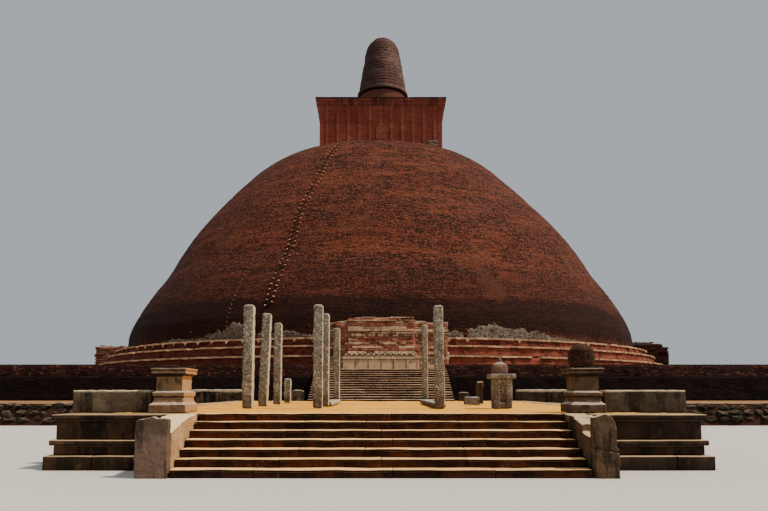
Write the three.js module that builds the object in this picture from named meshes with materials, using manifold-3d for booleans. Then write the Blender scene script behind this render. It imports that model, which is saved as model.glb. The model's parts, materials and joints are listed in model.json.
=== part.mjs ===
// A great brick stupa at one tenth of its real size: two square terraces, three basal rings,
// a bubble-shaped dome, a square chamber, a broken brick spire, and the gatehouse in front.
// Millimetres, +Z up, the front looks along -Y, and the origin lies on the dome's axis at ground level.
import * as THREE from 'three';
import { mergeVertices } from 'three/addons/utils/BufferGeometryUtils.js';
import Module from 'manifold-3d';

const wasm = await Module();
wasm.setup();

const weldTolerance = 1e-3;
const clearance = 0.3;

// Terraces
const lowerTerraceHalf = 9300;
const lowerTerraceFoot = 30;
const lowerTerraceTop = 100;
const upperTerraceHalf = 8450;
const upperTerraceTop = 288;
const terraceLedgeHeight = 240;
const terraceLedgeDepth = 40;
const terraceCopingTop = 317;
const terraceCopingWidth = 60;

// Stairs between the terraces
const upperStairHalfWidth = 395;
const upperStairRisers = 14;
const upperStairTread = 28.5;
const upperStairLanding = 50;

// Basal rings, from the ground up
const basalRings = [
  { name: 'lower_ring', radius: 5060, bottom: upperTerraceTop, top: 568 },
  { name: 'middle_ring', radius: 4920, bottom: 568, top: 696 },
  { name: 'upper_ring', radius: 4800, bottom: 696, top: 799 },
];
const domeFoot = basalRings[2].top;
const ringSegments = 112;
const copingThickness = 25;
const copingOverhang = 20;
const ringBatter = 12;

// Dome: height, radius and sideways lean of each station, from its foot up
const domeStations = [
  [domeFoot, 4622, 0],
  [890, 4618, 0],
  [980, 4612, 0],
  [1100, 4590, 0],
  [1280, 4520, 0],
  [1500, 4407, 0],
  [1800, 4220, 0],
  [2100, 4006, -5],
  [2450, 3810, -15],
  [2800, 3590, -30],
  [3100, 3360, -45],
  [3400, 3103, -65],
  [3650, 2880, -75],
  [3900, 2640, -85],
  [4100, 2440, -85],
  [4300, 2180, -80],
  [4400, 1935, -70],
  [4500, 1625, -40],
  [4575, 1240, -20],
  [4610, 800, 0],
];
const domeSegments = 96;
const erosionDepth = 26;
const erosionTop = 1280;

// Square chamber on the dome
const chamberBottom = 4480;
const chamberHalf = 1105;
const pilasterDepth = 28;
const pilasterWidth = 74;
const pilasterSpacing = 199;
const pilastersPerSide = 11;
const middlePanel = { half: 92, depth: 22, bottom: 4770, top: 5050 };
const chamberTop = 5070;
const corniceFlare = 48;
const corniceFlareTop = 5395;
const corniceBandFoot = 1190;
const corniceBandHalf = 1210;
const corniceTop = 5540;

// Spire
const drumRadius = 478;
const drumFootHeight = 40;
const drumFootOverhang = 22;
const drumLipRadius = 518;
const drumLipBottom = 6100;
const drumLipUndercut = 35;
const drumTop = 6150;
const spireSegments = 48;
const spireLean = 36;
const spireStations = [
  [drumTop, 486],
  [6280, 475],
  [6410, 443],
  [6540, 430],
  [6660, 412],
  [6790, 391],
  [6920, 371],
  [7050, 350],
  [7180, 302],
  [7300, 190],
];
const spireTip = 7390;
const spireTipRadius = 34;
const spireGrooveDepth = 9;
const spireGrooveHeight = 22;
const spireGrooveEdge = 2;
const crownWear = 0.12;

// Frontispieces: outward distances from the dome's axis, and what is left of each one
const frontispieceBack = 4632;
const frontispieceHalf = 725;
const wingFace = 5480;
const wingShare = 0.925;
const shoulderFace = 5520;
const shoulderHalf = 490;
const shoulderShare = 0.945;
const centreFace = 5560;
const centreHalf = 354;
const crownStones = { left: -283, right: 124, setback: 20, height: 16 };
const endPierWidth = 46;
const endPierFace = 5500;
const bandOverhang = 12;
const bandThickness = 14;
const lowerBands = [0.49, 0.635, 0.725, 0.85];
const crownBand = 0.945;
const frontispieces = [
  { name: 'front', top: 950, setback: 0, piers: [620, 700], brokenEdge: null },
  { name: 'right', top: 1085, setback: 150, piers: [720, 720], brokenEdge: { depth: 110, drop: 70 } },
  { name: 'back', top: 1000, setback: 150, piers: [660, 660], brokenEdge: { depth: 110, drop: 70 } },
  { name: 'left', top: 1020, setback: 185, piers: [660, 660], brokenEdge: null },
];

// Altar before the front frontispiece
const altarHalf = 405;
const altarFace = 5620;
const altarTop = 565;
const altarSlabTop = 523;
const altarSlabThickness = 12;
const altarSlabOverhang = 8;
const altarFootHeight = 34;
const altarFootOverhang = 14;
const altarCarvingSetback = 20;
const altarCarvingInset = 7;

// Gatehouse floor and its flight
const floorHalf = 667;
const floorShift = -4;
const floorFront = -10910;
const floorBack = -lowerTerraceHalf;
const floorTop = 113;
const floorSeatMargin = 40;
const floorMouldings = [
  [0, 17], [30, 17], [32, 3], [48, 3], [50, 10], [60, 10], [62, 0], [100, 0], [103, 8], [floorTop, 8],
];
const stairHalf = 393;
const stairFoot = -11040;
const stairHead = -10860;
const stairRisers = 7;
const balustradeWidth = 59;
const rightBalustradeWidth = 48;
const balustradeFootHeight = 84;
const balustradeSwell = { along: 90, height: 112 };
const brokenRamp = [[0, 74], [50, 82], [52, 97], [98, 106], [100, 110]];
const guardThickness = 18;
const plainCheekOverlap = 4;
const plainCheekShape = [[0, 80], [60, floorTop - 8]];
const plainCheekLanding = 10;

// Moulded pedestals: height above the floor, and how far inside the foot each course stands
const pedestalY = -10805;
const pedestalStretch = 5;
const pedestalCourses = [
  [0, 0], [18, 0], [24, 7], [34, 8], [36, 5], [46, 5], [47, 12], [80, 12], [85, 3], [98, 1],
];
const pedestalTop = floorTop + 98;
const leftPedestal = { x: -463, footHalf: 41 };
const rightPedestal = { x: 451, footHalf: 38 };
const ballStations = [[0, 15], [4, 24], [13, 29.5], [27, 30.5], [41, 27.5], [51, 18.5], [55, 8]];
const ballSegments = 20;

// Small carved pedestal with a pot on it
const smallPedestalX = 331;
const smallPedestalCourses = [[0, 28], [81, 28], [84, 37], [94, 37]];
const potShift = -4;
const potStations = [
  [90, 16], [96, 21.5], [104, 23.5], [113, 23], [120, 19.5], [125, 11], [127, 7.5], [134, 7], [138, 4.5], [141, 2],
];

// Low walls on the floor's edges, and worn stones
const nearParapet = { left: [-676, -504], right: [489, 670], ys: [-10835, -10800], top: 163 };
const farParapet = { left: [-893, -647], right: [640, 893], ys: [-9270, -9235], top: 166 };
const upperGuardGap = 16;
const upperGuardThickness = 14;
const upperGuardRounding = { across: 0.35, down: 0.3 };
const upperGuards = [
  { name: 'upper_guard_left', x0: -478, x1: -409, top: 164 },
  { name: 'upper_guard_right', x0: 412, x1: 470, top: 152 },
];
const fallenBlock = { x: 305, y: -10110, halfX: 28, halfY: 18, height: 28, taper: 3 };

// Gatehouse pillars: rows by their place along Y, columns across X
const pillarRowYs = { a: -10490, b: -10270, c: -10040, d: -9830 };
const outerColumn = 362;
const innerColumn = 171;
const pillarHeight = 287;
const pillarCapHeight = 6;
const pillarCapInset = 4;
const curbHeight = 15;
const curbWidth = 34;
const curbLead = 20;

const brick = new THREE.MeshStandardMaterial({ color: 0x7a4232, roughness: 0.95, metalness: 0 });
const chamberBrick = new THREE.MeshStandardMaterial({ color: 0x8c4632, roughness: 0.93, metalness: 0 });
const spireBrick = new THREE.MeshStandardMaterial({ color: 0x8a5a44, roughness: 0.95, metalness: 0 });
const ringBrick = new THREE.MeshStandardMaterial({ color: 0x9c5238, roughness: 0.93, metalness: 0 });
const terraceBrick = new THREE.MeshStandardMaterial({ color: 0x6b3a2c, roughness: 0.95, metalness: 0 });
const rubble = new THREE.MeshStandardMaterial({ color: 0x8a7a68, roughness: 0.96, metalness: 0 });
const stone = new THREE.MeshStandardMaterial({ color: 0xa6917a, roughness: 0.9, metalness: 0 });
const greyStone = new THREE.MeshStandardMaterial({ color: 0x8f8676, roughness: 0.92, metalness: 0 });

const stupa = new THREE.Group();
stupa.name = 'stupa';

function addPart(name, geometry, material) {
  const mesh = new THREE.Mesh(geometry, material);
  mesh.name = name;
  stupa.add(mesh);
  return mesh;
}

function toSolid(geometry) {
  const bare = new THREE.BufferGeometry();
  bare.setAttribute('position', geometry.getAttribute('position').clone());
  if (geometry.index) bare.setIndex(geometry.index.clone());
  const welded = mergeVertices(bare, weldTolerance);
  const mesh = new wasm.Mesh({
    numProp: 3,
    vertProperties: new Float32Array(welded.getAttribute('position').array),
    triVerts: new Uint32Array(welded.index.array),
  });
  return new wasm.Manifold(mesh);
}

function toGeometry(solid) {
  const mesh = solid.getMesh();
  const geometry = new THREE.BufferGeometry();
  geometry.setAttribute('position', new THREE.BufferAttribute(mesh.vertProperties, 3));
  geometry.setIndex(new THREE.BufferAttribute(mesh.triVerts, 1));
  geometry.computeVertexNormals();
  return geometry;
}

function join(geometries) {
  return toGeometry(wasm.Manifold.union(geometries.map(toSolid)));
}

function cut(geometry, cutters) {
  return toGeometry(wasm.Manifold.difference([toSolid(geometry), ...cutters.map(toSolid)]));
}

function block([x0, x1], [y0, y1], [z0, z1]) {
  const geometry = new THREE.BoxGeometry(x1 - x0, y1 - y0, z1 - z0);
  return geometry.translate((x0 + x1) / 2, (y0 + y1) / 2, (z0 + z1) / 2);
}

// A closed body through rings of points that all have the same count, with flat ends.
function loft(rings) {
  const count = rings[0].length;
  const positions = rings.flat().flatMap((point) => [point.x, point.y, point.z]);
  const index = [];
  for (let ring = 0; ring < rings.length - 1; ring += 1) {
    for (let i = 0; i < count; i += 1) {
      const a = ring * count + i;
      const b = ring * count + ((i + 1) % count);
      index.push(a, b, b + count, a, b + count, a + count);
    }
  }
  const last = (rings.length - 1) * count;
  const bottomFaces = THREE.ShapeUtils.triangulateShape(rings[0], []);
  const topFaces = THREE.ShapeUtils.triangulateShape(rings[rings.length - 1], []);
  bottomFaces.forEach(([a, b, c]) => index.push(c, b, a));
  topFaces.forEach(([a, b, c]) => index.push(last + a, last + b, last + c));
  const geometry = new THREE.BufferGeometry();
  geometry.setAttribute('position', new THREE.Float32BufferAttribute(positions, 3));
  geometry.setIndex(index);
  return geometry;
}

function rectangle(halfX, halfY, z, centreX = 0, centreY = 0) {
  return [
    new THREE.Vector3(centreX - halfX, centreY - halfY, z),
    new THREE.Vector3(centreX + halfX, centreY - halfY, z),
    new THREE.Vector3(centreX + halfX, centreY + halfY, z),
    new THREE.Vector3(centreX - halfX, centreY + halfY, z),
  ];
}

// Square courses stacked on one another: each station is a height and a half width.
function squareStack(stations, stretchY = 0, centreX = 0, centreY = 0) {
  return loft(stations.map(([z, half]) => rectangle(half, half + stretchY, z, centreX, centreY)));
}

function circle(radiusAt, z, segments, leanX = 0) {
  return Array.from({ length: segments }, (_, i) => {
    const angle = (2 * Math.PI * i) / segments;
    const radius = radiusAt(angle);
    return new THREE.Vector3(leanX + radius * Math.cos(angle), radius * Math.sin(angle), z);
  });
}

// A flat outline in the YZ plane, pushed through from x0 to x1.
function sideProfile(points, x0, x1) {
  const shape = new THREE.Shape(points.map(([y, z]) => new THREE.Vector2(y, z)));
  const geometry = new THREE.ExtrudeGeometry(shape, { depth: x1 - x0, bevelEnabled: false });
  const toSide = new THREE.Matrix4().set(
    0, 0, 1, x0,
    1, 0, 0, 0,
    0, 1, 0, 0,
    0, 0, 0, 1,
  );
  return geometry.applyMatrix4(toSide);
}

// A flat outline in the XZ plane, pushed back from its face at y0 to y1.
function frontProfile(shape, y0, y1) {
  const geometry = new THREE.ExtrudeGeometry(shape, {
    depth: y1 - y0,
    bevelEnabled: false,
    curveSegments: 8,
  });
  geometry.rotateX(Math.PI / 2);
  return geometry.translate(0, y1, 0);
}

function quarterTurn(geometry, turns) {
  return geometry.clone().rotateZ((turns * Math.PI) / 2);
}

const sides = [
  { name: 'front', turns: 0 },
  { name: 'right', turns: 1 },
  { name: 'back', turns: 2 },
  { name: 'left', turns: 3 },
];

// Terraces
function lowerTerrace() {
  return squareStack([
    [0, lowerTerraceHalf + lowerTerraceFoot],
    [lowerTerraceTop, lowerTerraceHalf],
  ]);
}

// The battered face stands back to a plane behind each gatehouse floor.
function gatehouseSeats() {
  const half = floorHalf + floorSeatMargin;
  const seat = block([-half, half], [floorBack - 200, floorBack], [-20, lowerTerraceTop + 20]);
  return sides.map(({ turns }) => quarterTurn(seat, turns));
}

function upperTerrace() {
  const wall = upperTerraceHalf;
  const foot = wall + terraceLedgeDepth;
  const kerbInside = wall - terraceCopingWidth;
  const body = squareStack([
    [lowerTerraceTop, foot],
    [terraceLedgeHeight, foot],
    [terraceLedgeHeight, wall],
    [terraceCopingTop, wall],
    [terraceCopingTop, kerbInside],
    [upperTerraceTop, kerbInside],
  ]);
  const doorway = block(
    [-upperStairHalfWidth, upperStairHalfWidth],
    [-wall - 100, -kerbInside + 10],
    [upperTerraceTop, terraceCopingTop + 20],
  );
  const stairSeat = block(
    [-upperStairHalfWidth, upperStairHalfWidth],
    [-wall - 100, -wall],
    [lowerTerraceTop - 20, terraceCopingTop],
  );
  const openings = sides.flatMap(({ turns }) => [
    quarterTurn(doorway, turns),
    quarterTurn(stairSeat, turns),
  ]);
  return cut(body, openings);
}

function stairProfile(footY, headY, bottomZ, topZ, steps, landing) {
  const rise = (topZ - bottomZ) / steps;
  const tread = (headY - landing - footY) / (steps - 1);
  const points = [[headY, bottomZ], [footY, bottomZ]];
  for (let step = 0; step < steps; step += 1) {
    const nose = footY + tread * step;
    points.push([nose, bottomZ + rise * (step + 1)]);
    if (step < steps - 1) points.push([nose + tread, bottomZ + rise * (step + 1)]);
  }
  points.push([headY, topZ]);
  return points.reverse();
}

function upperStair() {
  const head = -upperTerraceHalf;
  const foot = head - upperStairLanding - upperStairTread * (upperStairRisers - 1);
  const profile = stairProfile(
    foot,
    head,
    lowerTerraceTop,
    upperTerraceTop,
    upperStairRisers,
    upperStairLanding,
  );
  return sideProfile(profile, -upperStairHalfWidth, upperStairHalfWidth);
}

// Rings
function frontispieceBay(bottom, top) {
  const halfWidth = frontispieceHalf + bandOverhang + clearance;
  return block([-halfWidth, halfWidth], [-7000, -frontispieceBack + clearance], [bottom, top]);
}

function basalRing({ radius, bottom, top }) {
  const wallTop = top - copingThickness;
  const stations = [
    [bottom, radius + ringBatter],
    [wallTop, radius],
    [wallTop, radius + copingOverhang],
    [top, radius + copingOverhang],
  ];
  const disc = loft(stations.map(([z, r]) => circle(() => r, z, ringSegments)));
  const bays = sides.map(({ turns }) => quarterTurn(frontispieceBay(bottom - 20, top + 20), turns));
  return cut(disc, bays);
}

// A frontispiece steps forward from its wings to the middle, with bands at the height of its courses.
function frontispiece({ top, setback, piers, brokenEdge }) {
  const bottom = upperTerraceTop;
  const span = top - bottom;
  const back = -frontispieceBack;
  const slab = (half, face, low, high) => block([-half, half], [setback - face, back], [low, high]);
  const pieces = [
    slab(frontispieceHalf, wingFace, bottom, bottom + span * wingShare),
    slab(shoulderHalf, shoulderFace, bottom, bottom + span * shoulderShare),
    slab(centreHalf, centreFace, bottom, top - crownStones.height),
    block(
      [crownStones.left, crownStones.right],
      [setback - centreFace + crownStones.setback, back],
      [bottom, top],
    ),
  ];
  const addBand = (half, face, share) => {
    const z = bottom + span * share;
    pieces.push(slab(half, face + bandOverhang, z, z + bandThickness));
  };
  lowerBands.forEach((share) => {
    addBand(frontispieceHalf, wingFace, share);
    addBand(shoulderHalf + bandOverhang, shoulderFace, share);
    addBand(centreHalf + bandOverhang, centreFace, share);
  });
  addBand(centreHalf + bandOverhang, centreFace, crownBand);
  piers.forEach((pierTop, i) => {
    const outer = i === 0 ? -frontispieceHalf : frontispieceHalf;
    const inner = outer - Math.sign(outer) * endPierWidth;
    const edges = [Math.min(outer, inner), Math.max(outer, inner)];
    pieces.push(block(edges, [setback - endPierFace, back], [bottom, pierTop]));
  });
  const whole = join(pieces);
  if (!brokenEdge) return whole;
  const missing = block(
    [-frontispieceHalf - bandOverhang, frontispieceHalf + bandOverhang],
    [setback - centreFace - 100, setback - wingFace + brokenEdge.depth],
    [bottom + span * wingShare - brokenEdge.drop, top + 20],
  );
  return cut(whole, [missing]);
}

// The altar block stands against the middle, with a row of carving on its slab.
function altar() {
  const back = -centreFace;
  const bottom = upperTerraceTop;
  const slab = (grow, low, high) => (
    block([-altarHalf - grow, altarHalf + grow], [-altarFace - grow, back], [low, high])
  );
  const carving = block(
    [-altarHalf + altarCarvingInset, altarHalf - altarCarvingInset],
    [-altarFace + altarCarvingSetback, back],
    [altarSlabTop, altarTop],
  );
  return join([
    slab(0, bottom, altarSlabTop - altarSlabThickness),
    slab(altarSlabOverhang, altarSlabTop - altarSlabThickness, altarSlabTop),
    slab(altarFootOverhang, bottom, bottom + altarFootHeight),
    carving,
  ]);
}

// Dome
// Weather has bitten into the brick near the foot: the bite fades out upwards.
function erosion(angle, z) {
  if (z <= domeFoot || z >= erosionTop) return 0;
  const wave = Math.sin(angle * 5 + 0.6) + 0.7 * Math.sin(angle * 9 + 2.1) + 0.5 * Math.sin(angle * 17);
  const fade = Math.sin((Math.PI * (z - domeFoot)) / (erosionTop - domeFoot));
  return -erosionDepth * fade * Math.max(0, wave) / 2.2;
}

function dome() {
  const rings = domeStations.map(([z, radius, lean]) => (
    circle((angle) => radius + erosion(angle, z), z, domeSegments, lean)
  ));
  const half = chamberHalf + pilasterDepth + clearance;
  const seat = block([-half, half], [-half, half], [chamberBottom, chamberTop]);
  return cut(loft(rings), [seat]);
}

// Chamber: the pilasters run up through the flare to the cornice band.
function pilasteredSquare(z, half) {
  const proud = half + pilasterDepth;
  const side = [];
  for (let i = 0; i < pilastersPerSide; i += 1) {
    const middle = (i - (pilastersPerSide - 1) / 2) * pilasterSpacing;
    side.push([middle - pilasterWidth / 2, half], [middle - pilasterWidth / 2, proud]);
    side.push([middle + pilasterWidth / 2, proud], [middle + pilasterWidth / 2, half]);
  }
  const outline = [];
  sides.forEach(({ turns }) => {
    const angle = (turns * Math.PI) / 2;
    const corner = new THREE.Vector3(-half, -half, z);
    outline.push(corner.applyAxisAngle(new THREE.Vector3(0, 0, 1), angle));
    side.forEach(([along, out]) => {
      const point = new THREE.Vector3(along, -out, z);
      outline.push(point.applyAxisAngle(new THREE.Vector3(0, 0, 1), angle));
    });
  });
  return outline;
}

function chamberBody() {
  const walls = loft([pilasteredSquare(chamberBottom, chamberHalf), pilasteredSquare(chamberTop, chamberHalf)]);
  const panel = block(
    [-middlePanel.half, middlePanel.half],
    [-chamberHalf - middlePanel.depth, -chamberHalf + middlePanel.depth],
    [middlePanel.bottom, middlePanel.top],
  );
  const panels = sides.map(({ turns }) => quarterTurn(panel, turns));
  return join([walls, ...panels]);
}

function chamberCornice() {
  const flare = loft([
    pilasteredSquare(chamberTop, chamberHalf),
    pilasteredSquare(corniceFlareTop, chamberHalf + corniceFlare),
  ]);
  const band = squareStack([[corniceFlareTop, corniceBandFoot], [corniceTop, corniceBandHalf]]);
  return join([flare, band]);
}

// Spire
function spireDrum() {
  const stations = [
    [corniceTop, drumRadius + drumFootOverhang],
    [corniceTop + drumFootHeight, drumRadius + drumFootOverhang],
    [corniceTop + drumFootHeight, drumRadius],
    [drumLipBottom - drumLipUndercut, drumRadius],
    [drumLipBottom, drumLipRadius],
    [drumTop, drumLipRadius],
  ];
  return loft(stations.map(([z, r]) => circle(() => r, z, spireSegments, spireLean)));
}

// Ring courses: a shallow groove under each station, and a ragged crown above the last one.
function spire() {
  const rings = [];
  spireStations.forEach(([z, radius], i) => {
    if (i > 0) {
      const below = radius - spireGrooveDepth;
      rings.push(circle(() => below, z - spireGrooveHeight, spireSegments, spireLean));
      rings.push(circle(() => below, z - spireGrooveEdge, spireSegments, spireLean));
    }
    const wear = i < spireStations.length - 2 ? 0 : crownWear;
    const worn = (angle) => radius * (1 - wear * Math.max(0, Math.sin(angle * 3 + 1) + Math.sin(angle * 7)));
    rings.push(circle(worn, z, spireSegments, spireLean));
  });
  rings.push(circle(() => spireTipRadius, spireTip, spireSegments, spireLean));
  return loft(rings);
}

// Gatehouse
// The floor's front and sides carry a foot, a ledge, a plain wall and a cornice.
function gatehouseFloorBlock() {
  const behind = floorBack + 60;
  const centreY = (floorFront + behind) / 2;
  const stretch = (behind - floorFront) / 2 - floorHalf;
  return squareStack(floorMouldings.map(([z, out]) => [z, floorHalf + out]), stretch, floorShift, centreY);
}

function behindFloor() {
  return block([-900, 900], [floorBack, floorBack + 200], [-20, floorTop + 20]);
}

function gatehouseFloor() {
  const left = -stairHalf - balustradeWidth;
  const right = stairHalf + rightBalustradeWidth;
  const recess = block([left, right], [stairFoot - 60, stairHead], [-20, floorTop + 20]);
  return cut(gatehouseFloorBlock(), [behindFloor(), recess]);
}

function frontStair() {
  const rise = floorTop / stairRisers;
  const tread = (stairHead - stairFoot) / (stairRisers - 1);
  const profile = stairProfile(stairFoot, stairHead, 0, rise * (stairRisers - 1), stairRisers - 1, tread);
  return sideProfile(profile, -stairHalf, stairHalf);
}

function leftBalustrade() {
  const front = stairFoot + guardThickness;
  const curve = new THREE.QuadraticBezierCurve(
    new THREE.Vector2(front, balustradeFootHeight),
    new THREE.Vector2(front + balustradeSwell.along, balustradeSwell.height),
    new THREE.Vector2(stairHead, floorTop),
  );
  const top = curve.getPoints(8).map((point) => [point.x, point.y]);
  const profile = [[front, 0], ...top, [stairHead, 0]];
  return sideProfile(profile, -stairHalf - balustradeWidth, -stairHalf);
}

// Stones are missing from the top of this one, so it steps down to its guard stone.
function rightBalustrade() {
  const front = stairFoot + guardThickness;
  const top = brokenRamp.map(([along, z]) => [front + along, z]);
  const profile = [[front, 0], ...top, [stairHead, floorTop], [stairHead, 0]];
  return sideProfile(profile, stairHalf, stairHalf + rightBalustradeWidth);
}

function leftGuardStone() {
  const shape = new THREE.Shape();
  shape.moveTo(-457, 0);
  shape.lineTo(-395, 0);
  shape.lineTo(-395, 106);
  shape.quadraticCurveTo(-396, 111, -402, 111);
  shape.lineTo(-419, 111);
  shape.quadraticCurveTo(-424, 117, -430, 111);
  shape.lineTo(-450, 109);
  shape.quadraticCurveTo(-457, 107, -457, 101);
  shape.lineTo(-457, 0);
  return frontProfile(shape, stairFoot, stairFoot + guardThickness);
}

function rightGuardStone() {
  const shape = new THREE.Shape();
  shape.moveTo(395, 0);
  shape.lineTo(442, 0);
  shape.lineTo(442, 54);
  shape.lineTo(438, 56);
  shape.lineTo(438, 86);
  shape.quadraticCurveTo(437, 119, 414, 119);
  shape.lineTo(407, 116);
  shape.lineTo(stairHalf, 112);
  shape.lineTo(stairHalf, 57);
  shape.lineTo(395, 56);
  shape.lineTo(395, 0);
  return frontProfile(shape, stairFoot, stairFoot + guardThickness);
}

// Square pedestals with a moulded foot, a plain neck and a flared cap
function pedestal({ x, footHalf }) {
  const stations = pedestalCourses.map(([z, inset]) => [floorTop + z, footHalf - inset]);
  return squareStack(stations, pedestalStretch, x, pedestalY);
}

function turned(stations, bottom) {
  return loft(stations.map(([z, r]) => circle(() => r, bottom + z, ballSegments)));
}

function stoneBall() {
  return turned(ballStations, pedestalTop).translate(rightPedestal.x, pedestalY, 0);
}

function smallPedestal(y) {
  const courses = smallPedestalCourses.map(([z, half]) => [floorTop + z, half]);
  const shaft = squareStack(courses, 0, smallPedestalX, y);
  const pot = turned(potStations, floorTop).translate(smallPedestalX + potShift, y, 0);
  return join([shaft, pot]);
}

// Pillars
function pillar(x, y, bottom, top, width, leanX = 0) {
  const half = width / 2;
  return loft([
    rectangle(half, half, bottom, x, y),
    rectangle(half, half, top - pillarCapHeight, x + leanX, y),
    rectangle(half - pillarCapInset, half - pillarCapInset, top, x + leanX, y),
  ]);
}

const rowY = pillarRowYs;
const fullTop = floorTop + pillarHeight;
const curbTop = floorTop + curbHeight;
// Each pillar: its place, foot, top and width, and how far its top leans along X
const pillars = [
  { name: 'pillar_outer_left_a', x: -outerColumn - 3, y: rowY.a, bottom: floorTop, top: fullTop - 1, width: 29 },
  { name: 'pillar_outer_left_b', x: -outerColumn - 3, y: rowY.b, bottom: floorTop, top: fullTop + 3, width: 28, lean: 9 },
  { name: 'pillar_outer_left_c', x: -outerColumn + 3, y: rowY.c, bottom: floorTop, top: fullTop - 3, width: 27 },
  { name: 'pillar_inner_left_a', x: -innerColumn - 2, y: rowY.a, bottom: floorTop, top: fullTop, width: 26 },
  { name: 'pillar_inner_left_b', x: -innerColumn - 2, y: rowY.b, bottom: floorTop, top: fullTop + 2, width: 25 },
  { name: 'pillar_inner_left_d', x: -innerColumn + 2, y: rowY.d, bottom: curbTop, top: fullTop, width: 25 },
  { name: 'pillar_inner_right_d', x: innerColumn - 3, y: rowY.d, bottom: curbTop, top: fullTop + 13, width: 22 },
  { name: 'pillar_inner_right_a', x: innerColumn - 9, y: rowY.a, bottom: floorTop, top: fullTop - 2, width: 27, lean: -4 },
  { name: 'pillar_stub_left', x: -outerColumn + 7, y: rowY.d, bottom: floorTop, top: 208, width: 26 },
  { name: 'pillar_stub_right', x: outerColumn - 18, y: rowY.c, bottom: floorTop, top: 193, width: 24 },
];

function curb(x, frontY) {
  const half = curbWidth / 2;
  return block([x - half, x + half], [frontY, rowY.d + half], [floorTop, curbTop]);
}

// Low walls
function addParapets(name, { left, right, ys, top }, bottom) {
  addPart(`${name}_left`, block(left, ys, [bottom, top]), stone);
  addPart(`${name}_right`, block(right, ys, [bottom, top]), stone);
}

function upperGuardStone({ x0, x1, top }) {
  const stairFootY = -upperTerraceHalf - upperStairLanding - upperStairTread * (upperStairRisers - 1);
  const y = stairFootY - upperGuardGap;
  const width = x1 - x0;
  const across = width * upperGuardRounding.across;
  const down = width * upperGuardRounding.down;
  const shape = new THREE.Shape();
  shape.moveTo(x0, lowerTerraceTop);
  shape.lineTo(x1, lowerTerraceTop);
  shape.lineTo(x1, top - down);
  shape.quadraticCurveTo(x1, top, x1 - across, top);
  shape.lineTo(x0 + across, top);
  shape.quadraticCurveTo(x0, top, x0, top - down);
  shape.lineTo(x0, lowerTerraceTop);
  return frontProfile(shape, y, y + upperGuardThickness);
}

function fallenStone({ x, y, halfX, halfY, height, taper }) {
  return loft([
    rectangle(halfX, halfY, floorTop, x, y),
    rectangle(halfX - taper, halfY - taper, floorTop + height, x, y),
  ]);
}

// The other three gatehouses keep their floor, flight and plain side walls.
function plainCheek(x0, x1) {
  const front = plainCheekShape.map(([along, z]) => [stairFoot + along, z]);
  const behind = stairHead + plainCheekLanding;
  return sideProfile([[stairFoot, 0], ...front, [behind, floorTop], [behind, 0]], x0, x1);
}

function plainGatehouse() {
  const recess = block([-stairHalf, stairHalf], [stairFoot - 60, stairHead - 1], [-20, floorTop + 20]);
  const floor = cut(gatehouseFloorBlock(), [behindFloor(), recess]);
  const inner = stairHalf - plainCheekOverlap;
  const outer = stairHalf + balustradeWidth;
  return join([floor, plainCheek(inner, outer), plainCheek(-outer, -inner), frontStair()]);
}

addPart('lower_terrace', cut(lowerTerrace(), gatehouseSeats()), rubble);
addPart('upper_terrace', upperTerrace(), terraceBrick);
sides.forEach(({ name, turns }) => {
  addPart(`upper_stair_${name}`, quarterTurn(upperStair(), turns), stone);
});
basalRings.forEach((ring) => addPart(ring.name, basalRing(ring), ringBrick));
frontispieces.forEach((remains, turns) => {
  addPart(`frontispiece_${remains.name}`, quarterTurn(frontispiece(remains), turns), ringBrick);
});
addPart('altar_front', altar(), stone);
addPart('dome', dome(), brick);
addPart('chamber_body', chamberBody(), chamberBrick);
addPart('chamber_cornice', chamberCornice(), chamberBrick);
addPart('spire_drum', spireDrum(), spireBrick);
addPart('spire', spire(), spireBrick);
addPart('gatehouse_floor', gatehouseFloor(), stone);
addPart('front_stair', frontStair(), stone);
addPart('balustrade_left', leftBalustrade(), stone);
addPart('balustrade_right', rightBalustrade(), stone);
addPart('guard_stone_left', leftGuardStone(), stone);
addPart('guard_stone_right', rightGuardStone(), stone);
addPart('pedestal_left', pedestal(leftPedestal), stone);
addPart('pedestal_right', pedestal(rightPedestal), stone);
addPart('stone_ball', stoneBall(), greyStone);
addPart('carved_pedestal', smallPedestal(rowY.a), greyStone);
addParapets('near_parapet', nearParapet, floorTop);
addParapets('far_parapet', farParapet, lowerTerraceTop);
pillars.forEach(({ name, x, y, bottom, top, width, lean = 0 }) => {
  addPart(name, pillar(x, y, bottom, top, width, lean), greyStone);
});
addPart('curb_left', curb(-innerColumn, rowY.b + curbLead), greyStone);
addPart('curb_right', curb(innerColumn - 6, rowY.a + curbLead), greyStone);
addPart('fallen_block', fallenStone(fallenBlock), greyStone);
upperGuards.forEach((guard) => addPart(guard.name, upperGuardStone(guard), greyStone));
sides.filter(({ turns }) => turns > 0).forEach(({ name, turns }) => {
  addPart(`gatehouse_${name}`, quarterTurn(plainGatehouse(), turns), stone);
});

export default stupa;
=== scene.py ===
import json
import math
import random

import bmesh
import bpy
from mathutils import Matrix, Vector, noise

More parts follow.
